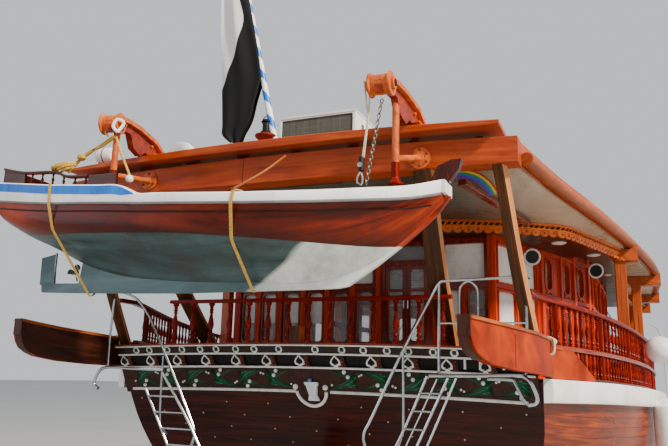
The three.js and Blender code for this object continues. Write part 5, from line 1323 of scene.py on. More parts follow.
def ceiling_fittings():
    """Flush round lights under the walkway ceiling and the roof lining."""
    piece = Piece()
    for side in (1, -1):
        for x, y, radius, z in ((3.53, -10.2, 0.13, 5.444), (4.05, -8.75, 0.13, 5.444),
                                (4.19, -4.85, 0.10, 5.599), (4.47, -2.96, 0.10, 5.599)):
            at = (side * x, y, z)
            lathe(piece, "bead", [(radius, 0.0), (radius, -0.012), (radius * 0.78, -0.020)], at, Z, 20)
            lathe(piece, "bulb", [(radius * 0.76, -0.014), (radius * 0.7, -0.024), (0.02, -0.028)], at, Z, 20)
    return piece


def speakers():
    """Round deck speakers: a thin pale rim about a deep black cone."""
    piece = Piece()
    for side in (1, -1):
        for x, y, z in ((3.02, -9.95, 5.25), (4.04, -7.7, 5.28)):
            at = Vector((side * x, y, z))
            face = Vector((side * 0.30, -0.92, -0.25)).normalized()
            lathe(piece, "black", [(0.03, -0.17), (0.10, -0.13), (0.145, -0.02)], at, face, 26)
            lathe(piece, "white", [(0.145, -0.02), (0.160, -0.01), (0.160, 0.008), (0.145, 0.016),
                                   (0.126, 0.012), (0.122, 0.0)], at, face, 26, False)
            lathe(piece, "black", [(0.122, 0.004), (0.09, -0.045), (0.045, -0.060)], at, face, 26)
            lathe(piece, "bead", [(0.094, -0.030), (0.088, -0.018), (0.078, -0.020), (0.074, -0.036)], at,
                  face, 24, False)
            lathe(piece, "mesh_grey", [(0.046, -0.058), (0.040, -0.040), (0.020, -0.026), (0.0, -0.022)], at,
                  face, 20)
            bar(piece, "dark_iron", at - face * 0.12, at - face * 0.12 + Vector((-side * 0.06, 0.06, 0.10)),
                0.03, 0.02, Z)
    return piece


# Davits and what hangs from them. Places on an arm are (across, distance aft of its foot, height).
DAVIT_FOOT = (2.14, -14.62)
DAVIT_TURN = {"starboard": 0.0, "port": math.radians(13.7)}
STRUTS = {"starboard": {"at": 0.94, "low": 5.26, "brace": (5.56, 5.74), "face": 2.27},
          "port": {"at": 1.34, "low": 5.42, "brace": (5.60, 5.80), "face": -1.98}}
DAVIT_ARM = ((-0.17, 6.12), (-0.12, 6.36), (0.20, 6.48), (0.77, 6.50), (1.13, 6.48), (1.50, 6.42),
             (1.62, 6.30), (1.60, 6.16), (1.40, 6.20), (1.20, 6.30), (1.01, 6.31), (0.89, 6.14),
             (0.64, 6.10), (0.50, 6.205))
DAVIT_TOP_EDGE = ((-0.17, 6.215), (-0.125, 6.355), (0.04, 6.425), (0.20, 6.475), (0.77, 6.497), (1.13, 6.475),
                  (1.40, 6.435))


def on_davit(word, across, aft, z):
    turn, (x, y) = DAVIT_TURN[word], DAVIT_FOOT
    return Vector((SIDES[word] * x + across * math.cos(turn) + aft * math.sin(turn),
                   y + across * math.sin(turn) - aft * math.cos(turn), z))


def davit(word):
    """Welded arm with a flanged edge and a sheave drum, its strut and the braced flange on the stern beam."""
    piece = Piece()
    plate(piece, "davit_red", [DAVIT_ARM], lambda u, v, w: on_davit(word, w - 0.045, u, v), 0.09)
    rings = []
    for i, (d, z) in enumerate(DAVIT_TOP_EDGE):
        a, b = DAVIT_TOP_EDGE[max(i - 1, 0)], DAVIT_TOP_EDGE[min(i + 1, len(DAVIT_TOP_EDGE) - 1)]
        length = math.dist(a, b)
        nd, nz = -(b[1] - a[1]) / length, (b[0] - a[0]) / length
        half = 0.10 - 0.03 * max(0.0, d - 1.1)
        rings.append([on_davit(word, u, d + nd * v, z + nz * v)
                      for u, v in oblong(-half, half, -0.055, 0.008)])
    loft(piece, "davit", rings)
    axis = (on_davit(word, 1, 0, 0) - on_davit(word, 0, 0, 0)).normalized()
    hub = on_davit(word, 0, 1.50, 6.29)
    drum = [(0.12, 0.10), (0.15, 0.115), (0.145, 0.135), (0.075, 0.14), (0.075, 0.17), (0.05, 0.175)]
    lathe(piece, "davit", [(r, -h) for r, h in reversed(drum)] + drum, hub, axis, 24)
    for off in (-0.178, 0.178):
        lathe(piece, "shadow", [(0.045, -0.004), (0.045, 0.004)], hub + axis * off, axis, 14)
    for d, z in ((0.02, 6.30), (0.30, 6.36), (1.22, 6.38), (1.40, 6.30)):
        for off in (-0.05, 0.05):
            lathe(piece, "davit", [(0.024, 0.0), (0.024, 0.02), (0.012, 0.026)], on_davit(word, off, d, z),
                  axis * (1 if off > 0 else -1), 8)
    foot = [on_davit(word, u, d, 6.20) for u, d in oblong(-0.15, 0.15, -0.16, 0.42)]
    loft(piece, "davit", [foot, [p + Z * 0.022 for p in foot]])
    strut, (x, y) = STRUTS[word], on_davit(word, 0, STRUTS[word]["at"], 0).xy
    low, (brace_low, brace_top), face = strut["low"], strut["brace"], strut["face"]
    tube(piece, "davit", [(x, y, low + 0.24), (x, y, 6.30)], 0.045, 14)
    tube(piece, "cherry", [(x, y, low), (x, y, low + 0.25)], 0.050, 14)
    lathe(piece, "cherry", [(0.095, 0.0), (0.095, 0.02), (0.06, 0.05), (0.05, 0.09)], (x, y, low - 0.03), Z,
          14)
    tube(piece, "davit", [(x, y, brace_low), (face, BEAM_FACE - 0.02, brace_top)], 0.042, 14)
    lathe(piece, "davit", [(0.14, 0.0), (0.14, 0.022), (0.062, 0.03), (0.055, 0.06)],
          (face, BEAM_FACE - 0.002, brace_top), -Y, 26)
    for t in angles(6, 0.5):
        lathe(piece, "davit_red", [(0.018, 0.0), (0.018, 0.022), (0.010, 0.028)],
              (face + 0.108 * math.cos(t), BEAM_FACE - 0.024, brace_top + 0.108 * math.sin(t)), -Y, 6)
    return piece


def chain_links(piece, stuff, a, b, size, wire):
    """Oval links between two points, each turned across the one before."""
    a, b = Vector(a), Vector(b)
    run = (b - a).normalized()
    side = run.cross(X).normalized()
    other = run.cross(side)
    count = int((b - a).length / (size * 0.66))
    for k in range(count):
        mid = a.lerp(b, (k + 0.5) / count)
        flat = side if k % 2 else other
        loop = [mid + run * (size / 2) * math.sin(t) + flat * (size * 0.30) * math.cos(t) for t in angles(10)]
        tube(piece, stuff, loop, wire, 5, closed=True)


def tackles():
    """Falls, block, chain and lashings between the davit heads and the slung boat."""
    piece = Piece()
    y = BOAT_Y - 0.07
    tube(piece, "rope", [(1.93, y, 6.36), (1.985, y, 5.908), (1.925, y, 5.42)], 0.011, 7)
    tube(piece, "rope", [(2.0, y, 6.16), (1.99, y, 5.90), (1.94, y, 5.42)], 0.010, 7)
    block(piece, "black", 1.885, 1.945, y - 0.035, y + 0.035, 5.27, 5.43, 0.3)
    lathe(piece, "steel", [(0.03, -0.05), (0.03, 0.05)], (1.91, y, 5.33), Y, 12)
    for x in (1.87, 1.93):
        tube(piece, "steel", curve([(1.905, y, 5.26), (x, y, 5.20), (x, y, 5.13), (1.91, y, 5.10)], 4),
             0.011, 6)
    chain_links(piece, "chain", (2.154, y, 6.10), (1.974, y, 5.10), 0.062, 0.0065)
    tube(piece, "rope", [(-1.875, y, 6.37), (-1.849, y, 6.15), (-1.80, y, 6.10)], 0.012, 7)
    tube(piece, "white", curve([(-1.60, y - 0.05, 6.12), (-1.66, y - 0.08, 6.20), (-1.62, y - 0.06, 6.30),
                                (-1.55, y, 6.26), (-1.60, y - 0.05, 6.12)], 4), 0.022, 8)
    for off in (0.0, 0.055):
        lashing = [(-1.714 + off, y, 6.085), (-1.96 + off, y, 5.96), (-2.207 + off, y, 5.828 + off),
                   (-2.486 + off, y, 5.689 - off)]
        tube(piece, "strap", curve(lashing, 5), 0.018, 7)
    for x, z, radius in ((-2.207, 5.83, 0.062), (-2.44, 5.70, 0.070)):
        ball(piece, "strap", (x, y - 0.02, z), radius, 10, 0.8)
    tube(piece, "strap", curve([(-1.663, y, 6.08), (-1.54, y, 5.82), (-1.369, y, 5.50)], 4), 0.016, 7)
    ball(piece, "white", (-1.37, y, 5.458), 0.055, 10)
    return piece


# Slung boat: rows run from its stern, to port, to its stem.
BOAT_Y = -16.05
BOAT = named_rows(("y", "top", "half", "rail", "side", "turn", "zTurn", "bilge", "zBilge", "zBottom"), (
    (-3.05, 5.39, 0.62, 5.13, 0.62, 0.60, 5.00, 0.40, 4.88, 4.84),
    (-2.60, 5.32, 0.71, 5.06, 0.70, 0.66, 4.80, 0.44, 4.68, 4.62),
    (-2.05, 5.24, 0.78, 4.99, 0.77, 0.72, 4.68, 0.40, 4.52, 4.36),
    (-1.20, 5.15, 0.84, 4.92, 0.83, 0.79, 4.58, 0.38, 4.36, 4.14),
    (-0.80, 5.105, 0.852, 4.888, 0.842, 0.796, 4.54, 0.36, 4.31, 4.10),
    (-0.56, 4.995, 0.857, 4.867, 0.847, 0.799, 4.517, 0.349, 4.28, 4.077),
    (-0.30, 4.978, 0.86, 4.85, 0.85, 0.80, 4.50, 0.34, 4.26, 4.06),
    (0.60, 4.925, 0.82, 4.80, 0.80, 0.72, 4.44, 0.26, 4.22, 4.03),
    (1.40, 4.91, 0.70, 4.78, 0.67, 0.54, 4.42, 0.16, 4.20, 4.02),
    (2.10, 4.94, 0.48, 4.80, 0.43, 0.28, 4.50, 0.09, 4.34, 4.24),
    (2.60, 4.99, 0.26, 4.84, 0.20, 0.11, 4.72, 0.05, 4.62, 4.60),
    (2.86, 5.06, 0.12, 4.90, 0.08, 0.06, 4.88, 0.045, 4.86, 4.84),
))
PAINT_LINE = named_rows("yz", ((-3.1, 4.74), (-2.26, 4.64), (-1.2, 4.575), (0.0, 4.505), (0.75, 4.44),
                               (1.8, 4.37), (3.1, 4.40)))


def boat_at(key, x):
    return along(BOAT, key, x)


def paint_level(p):
    """Height of a point over the edge of the bottom paint."""
    return p[2] - along(PAINT_LINE, "z", p[0])


def boat_section(x, inset=0.0, lift=0.0):
    """Half a section of the slung boat from its gunwale down, as (half width, height)."""
    knots = [(boat_at(wide, x), boat_at(high, x)) for wide, high in (
        ("half", "top"), ("side", "rail"), ("turn", "zTurn"), ("bilge", "zBilge"))]
    rim = boat_at("top", x) - 0.1 * lift
    return [(max(half - inset, 0.004), min(z + lift, rim))
            for half, z in on_knots(knots + [(0.035, boat_at("zBottom", x))], 24)]


def boat_hull():
    piece = Piece()
    xs = steps(-3.05, 2.86, 60)
    outer = [boat_section(x) for x in xs]
    inner = [boat_section(x, 0.05, 0.05) for x in xs[2:-2]]
    for stuff, run, sections in (("boat_red", xs, outer), ("boat_inside", xs[2:-2], inner)):
        n = len(sections[0])
        for side in (1, -1):
            points = [Vector((x, BOAT_Y + side * half, z))
                      for x, section in zip(run, sections) for half, z in section]
            grain = [Vector((x, 0.06 * i, 0)) for x in run for i in range(n)]
            piece.add(points, grid_faces(len(run), n), stuff, grain, [paint_level(p) for p in points])
    for x, section in ((xs[0], outer[0]), (xs[-1], outer[-1])):
        loop = [Vector((x, BOAT_Y + half, z)) for half, z in section]
        loop += [Vector((x, BOAT_Y - half, z)) for half, z in reversed(section)]
        piece.add(loop, [tuple(range(len(loop)))], "boat_red", level=[paint_level(p) for p in loop])
    for side in (1, -1):
        gunwale = []
        for x in xs:
            half, z = boat_at("half", x), boat_at("top", x)
            gunwale.append([(x, BOAT_Y + side * across, up)
                            for across, up in oblong(half - 0.07, half + 0.003, z - 0.03, z + 0.002)])
        loft(piece, "white", gunwale)
        line = [(x, BOAT_Y + side * (boat_at("side", x) * 0.995 + 0.006), boat_at("rail", x) - 0.085)
                for x in steps(-3.0, 2.75, 40)]
        tube(piece, "boat_line", line, 0.010, 6)
    return piece


# The blue stripe's lower edge runs level once it is this low.
BLUE_LOWEST = 4.98


def boat_rail():
    """White rubbing strake with a grey strip beneath it as painted shadow, and a blue stripe on its after
    part.
    """
    piece = Piece()
    whole = steps(-3.05, 2.86, 60)
    for side in (1, -1):
        for stuff, xs, section in (
                ("white", whole, lambda low, top: ((0.0, low), (0.034, low), (0.04, low + 0.02),
                                                   (0.04, top - 0.014), (0.03, top), (0.0, top))),
                ("strake_shadow", whole, lambda low, top: ((0.0, low - 0.022), (0.028, low - 0.012),
                                                          (0.030, low + 0.002), (0.0, low + 0.002))),
                ("boat_blue", steps(-3.04, -0.60, 26), lambda low, top: oblong(
                    0.034, 0.043, max(top - 0.125, BLUE_LOWEST), top - 0.016))):
            rings = []
            for x in xs:
                half, low, top = boat_at("half", x) + 0.005, boat_at("rail", x) + 0.02, boat_at("top", x)
                rings.append([(x, BOAT_Y + side * (half + out), z) for out, z in section(low, top)])
            loft(piece, stuff, rings)
    for row, x0, x1 in ((BOAT[0], -3.093, -3.052), (BOAT[-1], 2.862, 2.905)):
        wide = row["half"] + 0.04
        block(piece, "white", x0, x1, BOAT_Y - wide, BOAT_Y + wide, row["rail"] + 0.02, row["top"])
    return piece


def boat_keel():
    piece = Piece()
    outline = [(x, boat_at("zBottom", x) + 0.03) for x in steps(-2.05, 2.82, 24)]
    outline += [(2.862, 4.905), (2.935, 4.905), (2.80, 4.725), (2.60, 4.55), (2.40, 4.39), (2.09, 4.165),
                (1.76, 3.955), (1.64, 3.935), (1.29, 3.93), (0.40, 3.928), (-0.49, 3.925), (-2.02, 3.96),
                (-2.72, 3.985), (-2.74, 4.105), (-2.09, 4.09)]
    points = [Vector((x, BOAT_Y + y, z)) for y in (-0.03, 0.03) for x, z in outline]
    n = len(outline)
    triangles = tessellate_polygon([[Vector((x, z, 0)) for x, z in outline]])
    faces = [tuple(t) for t in triangles] + [tuple(n + i for i in reversed(t)) for t in triangles]
    faces += [(i, (i + 1) % n, n + (i + 1) % n, n + i) for i in range(n)]
    piece.add(points, faces, "keel_paint", None, [paint_level(p) for p in points])
    return piece


def boat_rudder():
    piece = Piece()
    outline = [(-2.79, 4.46), (-2.56, 4.50), (-2.53, 4.11), (-2.78, 4.09)]
    plate(piece, "boat_grey", [outline], lambda u, v, w: (u, BOAT_Y - 0.018 + w, v), 0.036)
    tube(piece, "steel", [(-2.55, BOAT_Y, 4.09), (-2.55, BOAT_Y, 4.52)], 0.018, 8)
    return piece


def boat_propeller():
    piece = Piece()
    at = Vector((-2.20, BOAT_Y, 4.24))
    lathe(piece, "propeller_paint", [(0.012, -0.07), (0.028, -0.05), (0.03, 0.05)], at, X, 12)
    for k in range(3):
        t = 2 * math.pi * k / 3 + 0.5
        rings = []
        for r, wide, twist in ((0.02, 0.03, 0.9), (0.06, 0.07, 0.7), (0.10, 0.085, 0.5), (0.128, 0.04, 0.45)):
            radial = Vector((0, math.sin(t), math.cos(t)))
            around = Vector((0, math.cos(t), -math.sin(t)))
            chord = X * math.sin(twist) + around * math.cos(twist)
            normal = chord.cross(radial)
            mid = at + radial * r
            rings.append([mid - chord * wide / 2, mid + normal * 0.004, mid + chord * wide / 2,
                          mid - normal * 0.004])
        loft(piece, "propeller_paint", rings)
    return piece


# After rail of the slung boat: (x, top of the rail), stern first.
TAFFRAIL = ((-3.045, 5.61), (-2.56, 5.49), (-2.0, 5.43), (-1.75, 5.345), (-1.40, 5.315))


def boat_stern_rail():
    """Turned rail round the stern of the slung boat, planked at its after end."""
    piece = Piece()

    def edge(x, side):
        return BOAT_Y + side * (boat_at("half", x) - 0.045)

    line = curve([(x, 0, z) for x, z in TAFFRAIL], 4)
    for side in (1, -1):
        loft(piece, "mahogany", [[(p.x, edge(p.x, side) + y, p.z + z) for y, z in (
            (-0.032, -0.034), (0.032, -0.034), (0.038, -0.018), (0.026, 0.0), (-0.026, 0.0),
            (-0.038, -0.018))]
            for p in line])
        rails = named_rows("yz", [(p.x, p.z) for p in line])
        for x in (-2.42, -2.22, -2.02, -1.82, -1.62, -1.44):
            y = edge(x, side)
            baluster(piece, "mahogany", (x, y, boat_at("top", x) + 0.004),
                     (x, y, along(rails, "z", x) - 0.03), 0.020, 10)
        rings = []
        for x in steps(-3.045, -2.56, 6):
            y, low, top = edge(x, side), boat_at("top", x) + 0.004, along(rails, "z", x) - 0.034
            rings.append([(x, *p) for p in oblong(y - 0.016, y + 0.016, low, top)])
        loft(piece, "mahogany", rings)
        y = edge(-1.16, side)
        block(piece, "mahogany", -1.37, -0.95, y - 0.018, y + 0.018, 5.16, 5.30, 0.2)
    for x0, x1, z0, z1, chamfer in ((-3.062, -3.028, 5.576, 5.61, 0.2), (-3.058, -3.034, 5.40, 5.576, 0.1)):
        block(piece, "mahogany", x0, x1, edge(-3.045, -1), edge(-3.045, 1), z0, z1, chamfer)
    return piece


def taut_line(outline):
    """The points of an outline that a strap pulled tight round it still touches."""
    taut = []
    for p in outline:
        while len(taut) > 1 and ((taut[-1][0] - taut[-2][0]) * (p[1] - taut[-2][1])
                                 - (taut[-1][1] - taut[-2][1]) * (p[0] - taut[-2][0])) > 0:
            taut.pop()
        taut.append(p)
    return taut


def boat_fittings():
    """Stem head, thwarts, coiled rope, straps and the batten of the slung boat."""
    piece = Piece()
    head = [(2.70, 5.07), (2.80, 5.25), (2.95, 5.31), (3.06, 5.31), (3.03, 5.20), (2.93, 5.07)]
    plate(piece, "mahogany", [head], lambda u, v, w: (u, BOAT_Y - 0.05 + w, v), 0.10)
    for x in (-1.6, -0.4, 0.8):
        half, z = boat_at("half", x) - 0.08, boat_at("top", x) - 0.18
        block(piece, "boat_inside", x - 0.13, x + 0.13, BOAT_Y - half, BOAT_Y + half, z - 0.03, z)
    near = BOAT_Y - 0.72
    for k in range(3):
        loop = [(-1.90 + 0.16 * math.cos(t), near + 0.05 * math.sin(2 * t + k),
                 5.46 + 0.035 * math.sin(t + k) + 0.02 * k) for t in angles(18)]
        tube(piece, "strap", loop, 0.016, 6, closed=True)
    tube(piece, "strap", curve([(-2.44, -16.15, 5.69), (-2.20, -16.5, 5.56), (-2.02, near, 5.49),
                                (-1.78, near, 5.44)], 5),
         0.016, 7)
    for x_rail, x_keel in ((-1.95, -1.887), (0.718, 0.558)):
        for side in (-1, 1):
            outer, rail = boat_at("half", x_rail) + 0.054, boat_at("rail", x_rail)
            outline = [(outer, boat_at("top", x_rail) + 0.010), (outer, rail - 0.01)]
            outline += [(half + 0.010, z) for half, z in boat_section(x_rail) if z < rail - 0.05]
            taut = taut_line(outline + [(0.040, 3.935)]) + [(0.0, 3.915)]
            fall = taut[0][1] - taut[-1][1]
            path = [Vector((x_rail + (x_keel - x_rail) * (taut[0][1] - z) / fall, BOAT_Y + side * y, z))
                    for y, z in taut]
            section = [X * u + Y * v for u, v in oblong(-0.020, 0.020, 0.0, side * 0.005)]
            loft(piece, "strap", [[p + corner for corner in section] for p in path])
    batten = curve([(0.712, -16.905, 4.95), (0.56, -16.0, 5.40), (0.382, -15.05, 5.93)], 5)
    tube(piece, "spar", batten, 0.014, 8)
    tube(piece, "rope", curve([(0.70, -16.90, 4.95), (0.60, -16.5, 5.02), (0.30, -16.4, 4.98)], 5), 0.010, 6)
    return piece


# Boarding ladders, with handrails and platforms at their heads, as (across, height); they share a plane.
LADDER_Y, LADDER_FOOT = -14.0, 0.35


def bent_tube(piece, points, radius, y=LADDER_Y):
    """Steel tube bent smoothly through (across, height) points."""
    tube(piece, "steel", curve([(x, y, z) for x, z in points], 5), radius, 10)


def treads(piece, left, right, top, count):
    """Flat treads from one stile to the other."""
    for k in range(count):
        z = top - 0.235 * k
        ends = [(along(named_rows("xy", reversed(stile)), "x", z), LADDER_Y, z) for stile in (left, right)]
        bar(piece, "steel", *ends, 0.075, 0.024, Z)


def ladder_starboard():
    piece = Piece()
    bent_tube(piece, [(2.126, 3.011), (2.7, 3.024), (3.25, 3.037), (3.37, 3.02), (3.45, 2.93), (3.511, 2.77),
                      (3.49, 2.70), (3.399, 2.679)], 0.026)
    bent_tube(piece, [(3.399, 2.679), (3.33, 2.76), (3.25, 2.93), (3.198, 2.98), (2.90, 2.985)], 0.020)
    right = ((2.383, 2.985), (1.961, 2.101), (1.30, LADDER_FOOT + 0.36), (1.26, LADDER_FOOT))
    left = ((2.099, 3.004), (1.728, 2.189), (0.94, LADDER_FOOT + 0.36), (0.90, LADDER_FOOT))
    for path, radius in (
            (right, 0.021), (left, 0.021), ([(2.49, 2.987), (2.096, 2.109), (1.96, 1.90)], 0.016),
            ([(2.235, 2.968), (1.811, 2.092), (1.75, 1.98)], 0.012)):
        bent_tube(piece, path, radius)
    treads(piece, left, right, 2.78, 11)
    rail = -13.8
    for path, radius in (
            ([(3.45, 4.30), (3.376, 4.363), (3.271, 4.335), (3.046, 4.322), (2.543, 4.307), (2.30, 4.30),
              (2.213, 4.26), (2.05, 3.98), (1.702, 3.35), (1.258, 2.435), (1.158, 2.251), (1.135, 2.14),
              (1.161, 2.039)], 0.021),
            ([(1.702, 3.35), (1.707, 2.345), (1.68, 2.18), (1.637, 2.067)], 0.018),
            ([(2.212, 3.04), (2.212, 4.26)], 0.021), ([(3.376, 4.363), (3.39, 3.70), (3.36, 3.06)], 0.020),
            ([(2.50, 3.70), (2.50, 4.12), (2.545, 4.24), (2.625, 4.285), (2.705, 4.24), (2.75, 4.12),
              (2.75, 3.70)], 0.016),
            ([(2.213, 3.72), (2.50, 3.72), (2.75, 3.72), (3.38, 3.72)], 0.013)):
        bent_tube(piece, path, radius, rail)
    for x in (2.212, 3.36):
        bar(piece, "steel", (x, LADDER_Y, 3.02), (x, rail, 3.05), 0.03, 0.03, Z)
    return piece


def ladder_port():
    piece = Piece()
    rail = -13.9
    bent_tube(piece, [(-3.30, 4.26), (-3.10, 4.24), (-2.824, 4.115), (-2.556, 3.833), (-2.414, 3.592),
                      (-2.052, 3.0), (-1.637, 2.26), (-1.56, 2.06), (-1.606, 1.882)], 0.021, rail)
    bent_tube(piece, [(-2.242, 3.214), (-2.214, 2.309), (-2.16, 2.14), (-2.05, 2.03)], 0.018, rail)
    left = ((-2.443, 2.697), (-1.949, 1.861), (-1.30, LADDER_FOOT + 0.36), (-1.26, LADDER_FOOT))
    right = ((-2.162, 2.967), (-1.393, 1.894), (-0.94, LADDER_FOOT + 0.36), (-0.90, LADDER_FOOT))
    for path in (left, right):
        bent_tube(piece, path, 0.021)
    treads(piece, left, right, 2.60, 10)
    bent_tube(piece, [(-2.14, 3.0), (-2.7, 3.01), (-3.25, 3.02), (-3.42, 2.93), (-3.48, 2.76),
                      (-3.39, 2.68)], 0.026)
    bent_tube(piece, [(-3.30, 4.26), (-3.33, 3.60), (-3.32, 3.04)], 0.020, rail)
    return piece


# Gear on the roof.
def air_conditioner():
    """Air conditioner: a white casing with a wire guard over its after face and slots in its side."""
    piece = Piece()
    x0, x1, y0, y1, z0, z1 = -0.28, 1.00, -14.0, -11.9, 5.945, 6.93
    block(piece, "unit", x0 + 0.01, x1, y0 + 0.05, y1, z0, z1, 0.03)
    block(piece, "black", x0 + 0.02, x1 - 0.03, y0 + 0.042, y0 + 0.052, z0 + 0.05, z1 - 0.03, 0.1)
    plate(piece, "unit", [rounded(x0, x1, z0, z1, 0.03),
                          rounded(x0 + 0.03, x1 - 0.045, z0 + 0.06, z1 - 0.045, 0.02)],
          lambda u, v, w: (u, y0 + 0.002 + w, v), 0.045)
    for x in steps(x0 + 0.035, x1 - 0.05, 71):
        tube(piece, "mesh_grey", [(x, y0 + 0.022, z0 + 0.05), (x, y0 + 0.022, z1 - 0.04)], 0.0058, 5)
    for z in steps(z0 + 0.14, z1 - 0.11, 9):
        tube(piece, "mesh_grey", [(x0 + 0.05, y0 + 0.028, z), (x1 - 0.05, y0 + 0.028, z)], 0.0042, 5)
    for row in range(2):
        for k in range(9):
            y = y0 + 0.26 + 0.20 * k
            z = z0 + 0.16 + 0.40 * row
            block(piece, "mesh_grey", x1 + 0.001, x1 + 0.005, y, y + 0.10, z, z + 0.28, 0.1)
    block(piece, "unit", x0 - 0.008, x1 + 0.008, y0 - 0.008, y1 + 0.008, z1 - 0.02, z1 + 0.010, 0.2)
    return piece


def dome():
    piece = Piece()
    lathe(piece, "dome", [(0.17, 0.0), (0.17, 0.09), (0.205, 0.13), (0.238, 0.28), (0.24, 0.42),
                          (0.225, 0.54), (0.185, 0.64), (0.12, 0.70), (0.05, 0.72)],
          (-1.98, -14.15, 5.942), Z, 36)
    return piece


def canister():
    """White life saving canister lying on its cradle beside the plank."""
    piece = Piece()
    at = Vector((-3.04, -14.72, 6.37))
    lathe(piece, "dome", [(0.06, -0.155), (0.115, -0.145), (0.135, -0.11), (0.135, 0.11), (0.115, 0.145),
                          (0.06, 0.155)],
          at, X, 24)
    lathe(piece, "mesh_grey", [(0.137, -0.012), (0.139, -0.008), (0.139, 0.008), (0.137, 0.012)], at, X, 24)
    for x in (-0.08, 0.08):
        bar(piece, "dark_iron", at + Vector((x, 0, -0.13)), at + Vector((x, 0, -0.155)), 0.05, 0.14, Y)
    return piece


def lantern():
    """Stern light: a dark lamp body on a red base disc."""
    piece = Piece()
    at = Vector((-0.08, -14.80, 6.218))
    lathe(piece, "black", [(0.05, 0.0), (0.05, 0.045)], at, Z, 16)
    lathe(piece, "davit_red", [(0.07, 0.060), (0.11, 0.075), (0.155, 0.115), (0.160, 0.140), (0.10, 0.165)],
          at, Z, 26)
    lathe(piece, "black", [(0.075, 0.178), (0.078, 0.20), (0.056, 0.21), (0.056, 0.33), (0.078, 0.345),
                           (0.060, 0.38), (0.02, 0.396)], at, Z, 20)
    handle = [at + Vector((x, 0, z))
              for x, z in ((-0.066, 0.33), (-0.05, 0.41), (0, 0.44), (0.05, 0.41), (0.066, 0.33))]
    tube(piece, "dark_iron", curve(handle, 5), 0.006, 6)
    return piece


STAFF_FOOT, STAFF_HEAD = Vector((0.06, -14.75, 6.215)), Vector((-0.62, -14.95, 9.38))


def flagstaff():
    """White pole with a blue band wound round it."""
    piece = Piece()
    run = (STAFF_HEAD - STAFF_FOOT).normalized()
    side = run.cross(Y).normalized()
    other = run.cross(side)
    rows, around, turns, blue_share = 220, 24, 8.5, 0.42

    def corner(r, i):
        t, turn = r / rows, 2 * math.pi * i / around
        out = side * math.cos(turn) + other * math.sin(turn)
        return STAFF_FOOT.lerp(STAFF_HEAD, t) + out * (0.050 - 0.012 * t)

    points = [corner(r, i) for r in range(rows + 1) for i in range(around)]
    white, blue = [], []
    for k, face in enumerate(grid_faces(rows + 1, around, closed=True)):
        r, i = divmod(k, around)
        phase = (i / around + turns * r / rows) % 1.0
        (blue if phase < blue_share else white).append(face)
    piece.add(points, white, "staff")
    piece.add(points, blue, "boat_blue")
    ball(piece, "staff", STAFF_HEAD, 0.045, 12)
    lathe(piece, "dark_iron", [(0.075, 0.0), (0.075, 0.02), (0.055, 0.03)], STAFF_FOOT, run, 16)
    return piece


# Flag: height turned over, left edge, right edge and edge of the white stripe down its slack fall.
FALL = named_rows(("y", "left", "right", "stripe"), (
    (-9.00, -0.840, -0.500, -0.600), (-8.50, -0.825, -0.375, -0.505), (-8.16, -0.825, -0.300, -0.434),
    (-7.85, -0.820, -0.237, -0.500), (-7.60, -0.808, -0.190, -0.570), (-7.40, -0.800, -0.160, -0.668),
    (-7.18, -0.784, -0.148, -0.745), (-7.10, -0.787, -0.170, -0.800), (-6.90, -0.780, -0.232, -0.850),
    (-6.57, -0.765, -0.328, -0.900), (-6.40, -0.752, -0.433, -0.900), (-6.26, -0.600, -0.488, -0.900)))
# Across the folded cloth: share of its length, share of its hung width, and how far back it lies.
FOLD_EDGE = 0.47
FOLDS = named_rows(("y", "share", "back"), (
    (0.0, 0.0, 0.0), (0.42, 0.985, 0.012), (FOLD_EDGE, 1.0, 0.03), (0.52, 0.975, 0.05), (0.68, 0.42, 0.065),
    (0.72, 0.40, 0.085), (0.76, 0.44, 0.11), (1.0, 0.97, 0.13)))


def flag():
    """Dark flag hanging slack in one deep fold, with a white stripe on its outer side."""
    piece = Piece()
    rows, across = 80, 96
    folds = [(u, along(FOLDS, "share", u), along(FOLDS, "back", u)) for u in steps(0.0, 1.0, across)]
    points, level = [], []
    for r, down in enumerate(steps(FALL[0]["y"], FALL[-1]["y"], rows)):
        left, right, stripe = (along(FALL, key, down) for key in ("left", "right", "stripe"))
        line = STAFF_FOOT.lerp(STAFF_HEAD, (-down - STAFF_FOOT.z) / (STAFF_HEAD.z - STAFF_FOOT.z))
        for u, share, back in folds:
            sway = 0.022 * math.sin(7.0 * share + 3.2 * r / rows)
            sway += 0.012 * math.sin(13 * share - 5.0 * r / rows)
            x = left + (right - left) * share
            points.append((x, line.y - 0.15 + back * 1.1 + sway, -down))
            level.append(x - stripe if u < FOLD_EDGE else 1.0)
    piece.add(points, grid_faces(rows + 1, across + 1), "cloth", None, level)
    return piece


def hull_gear():
    """Fenders and the overboard pipe on the starboard side."""
    piece = Piece()
    ball(piece, "vinyl", (5.13, -8.30, 3.63), 0.26, 22)
    lathe(piece, "vinyl", [(0.05, 2.74), (0.14, 2.70), (0.27, 2.58), (0.28, 2.50), (0.275, 2.0),
                           (0.28, 1.45), (0.26, 1.34), (0.10, 1.27)], (5.22, -8.30, 0.0), Z, 26)
    tube(piece, "rope", [(5.20, -8.30, 3.40), (5.22, -8.30, 2.72)], 0.014, 7)
    tube(piece, "rope", curve([(5.20, -8.30, 3.86), (5.10, -8.30, 4.05), (4.98, -8.30, 4.12)], 4), 0.014, 7)
    p, out = hull_point(-10.35, 0.30)
    lathe(piece, "bronze", [(0.10, 0.0), (0.10, 0.02), (0.05, 0.03)], p, out, 18)
    tube(piece, "dark_iron", [p, p + out * 0.20], 0.045, 14)
    return piece


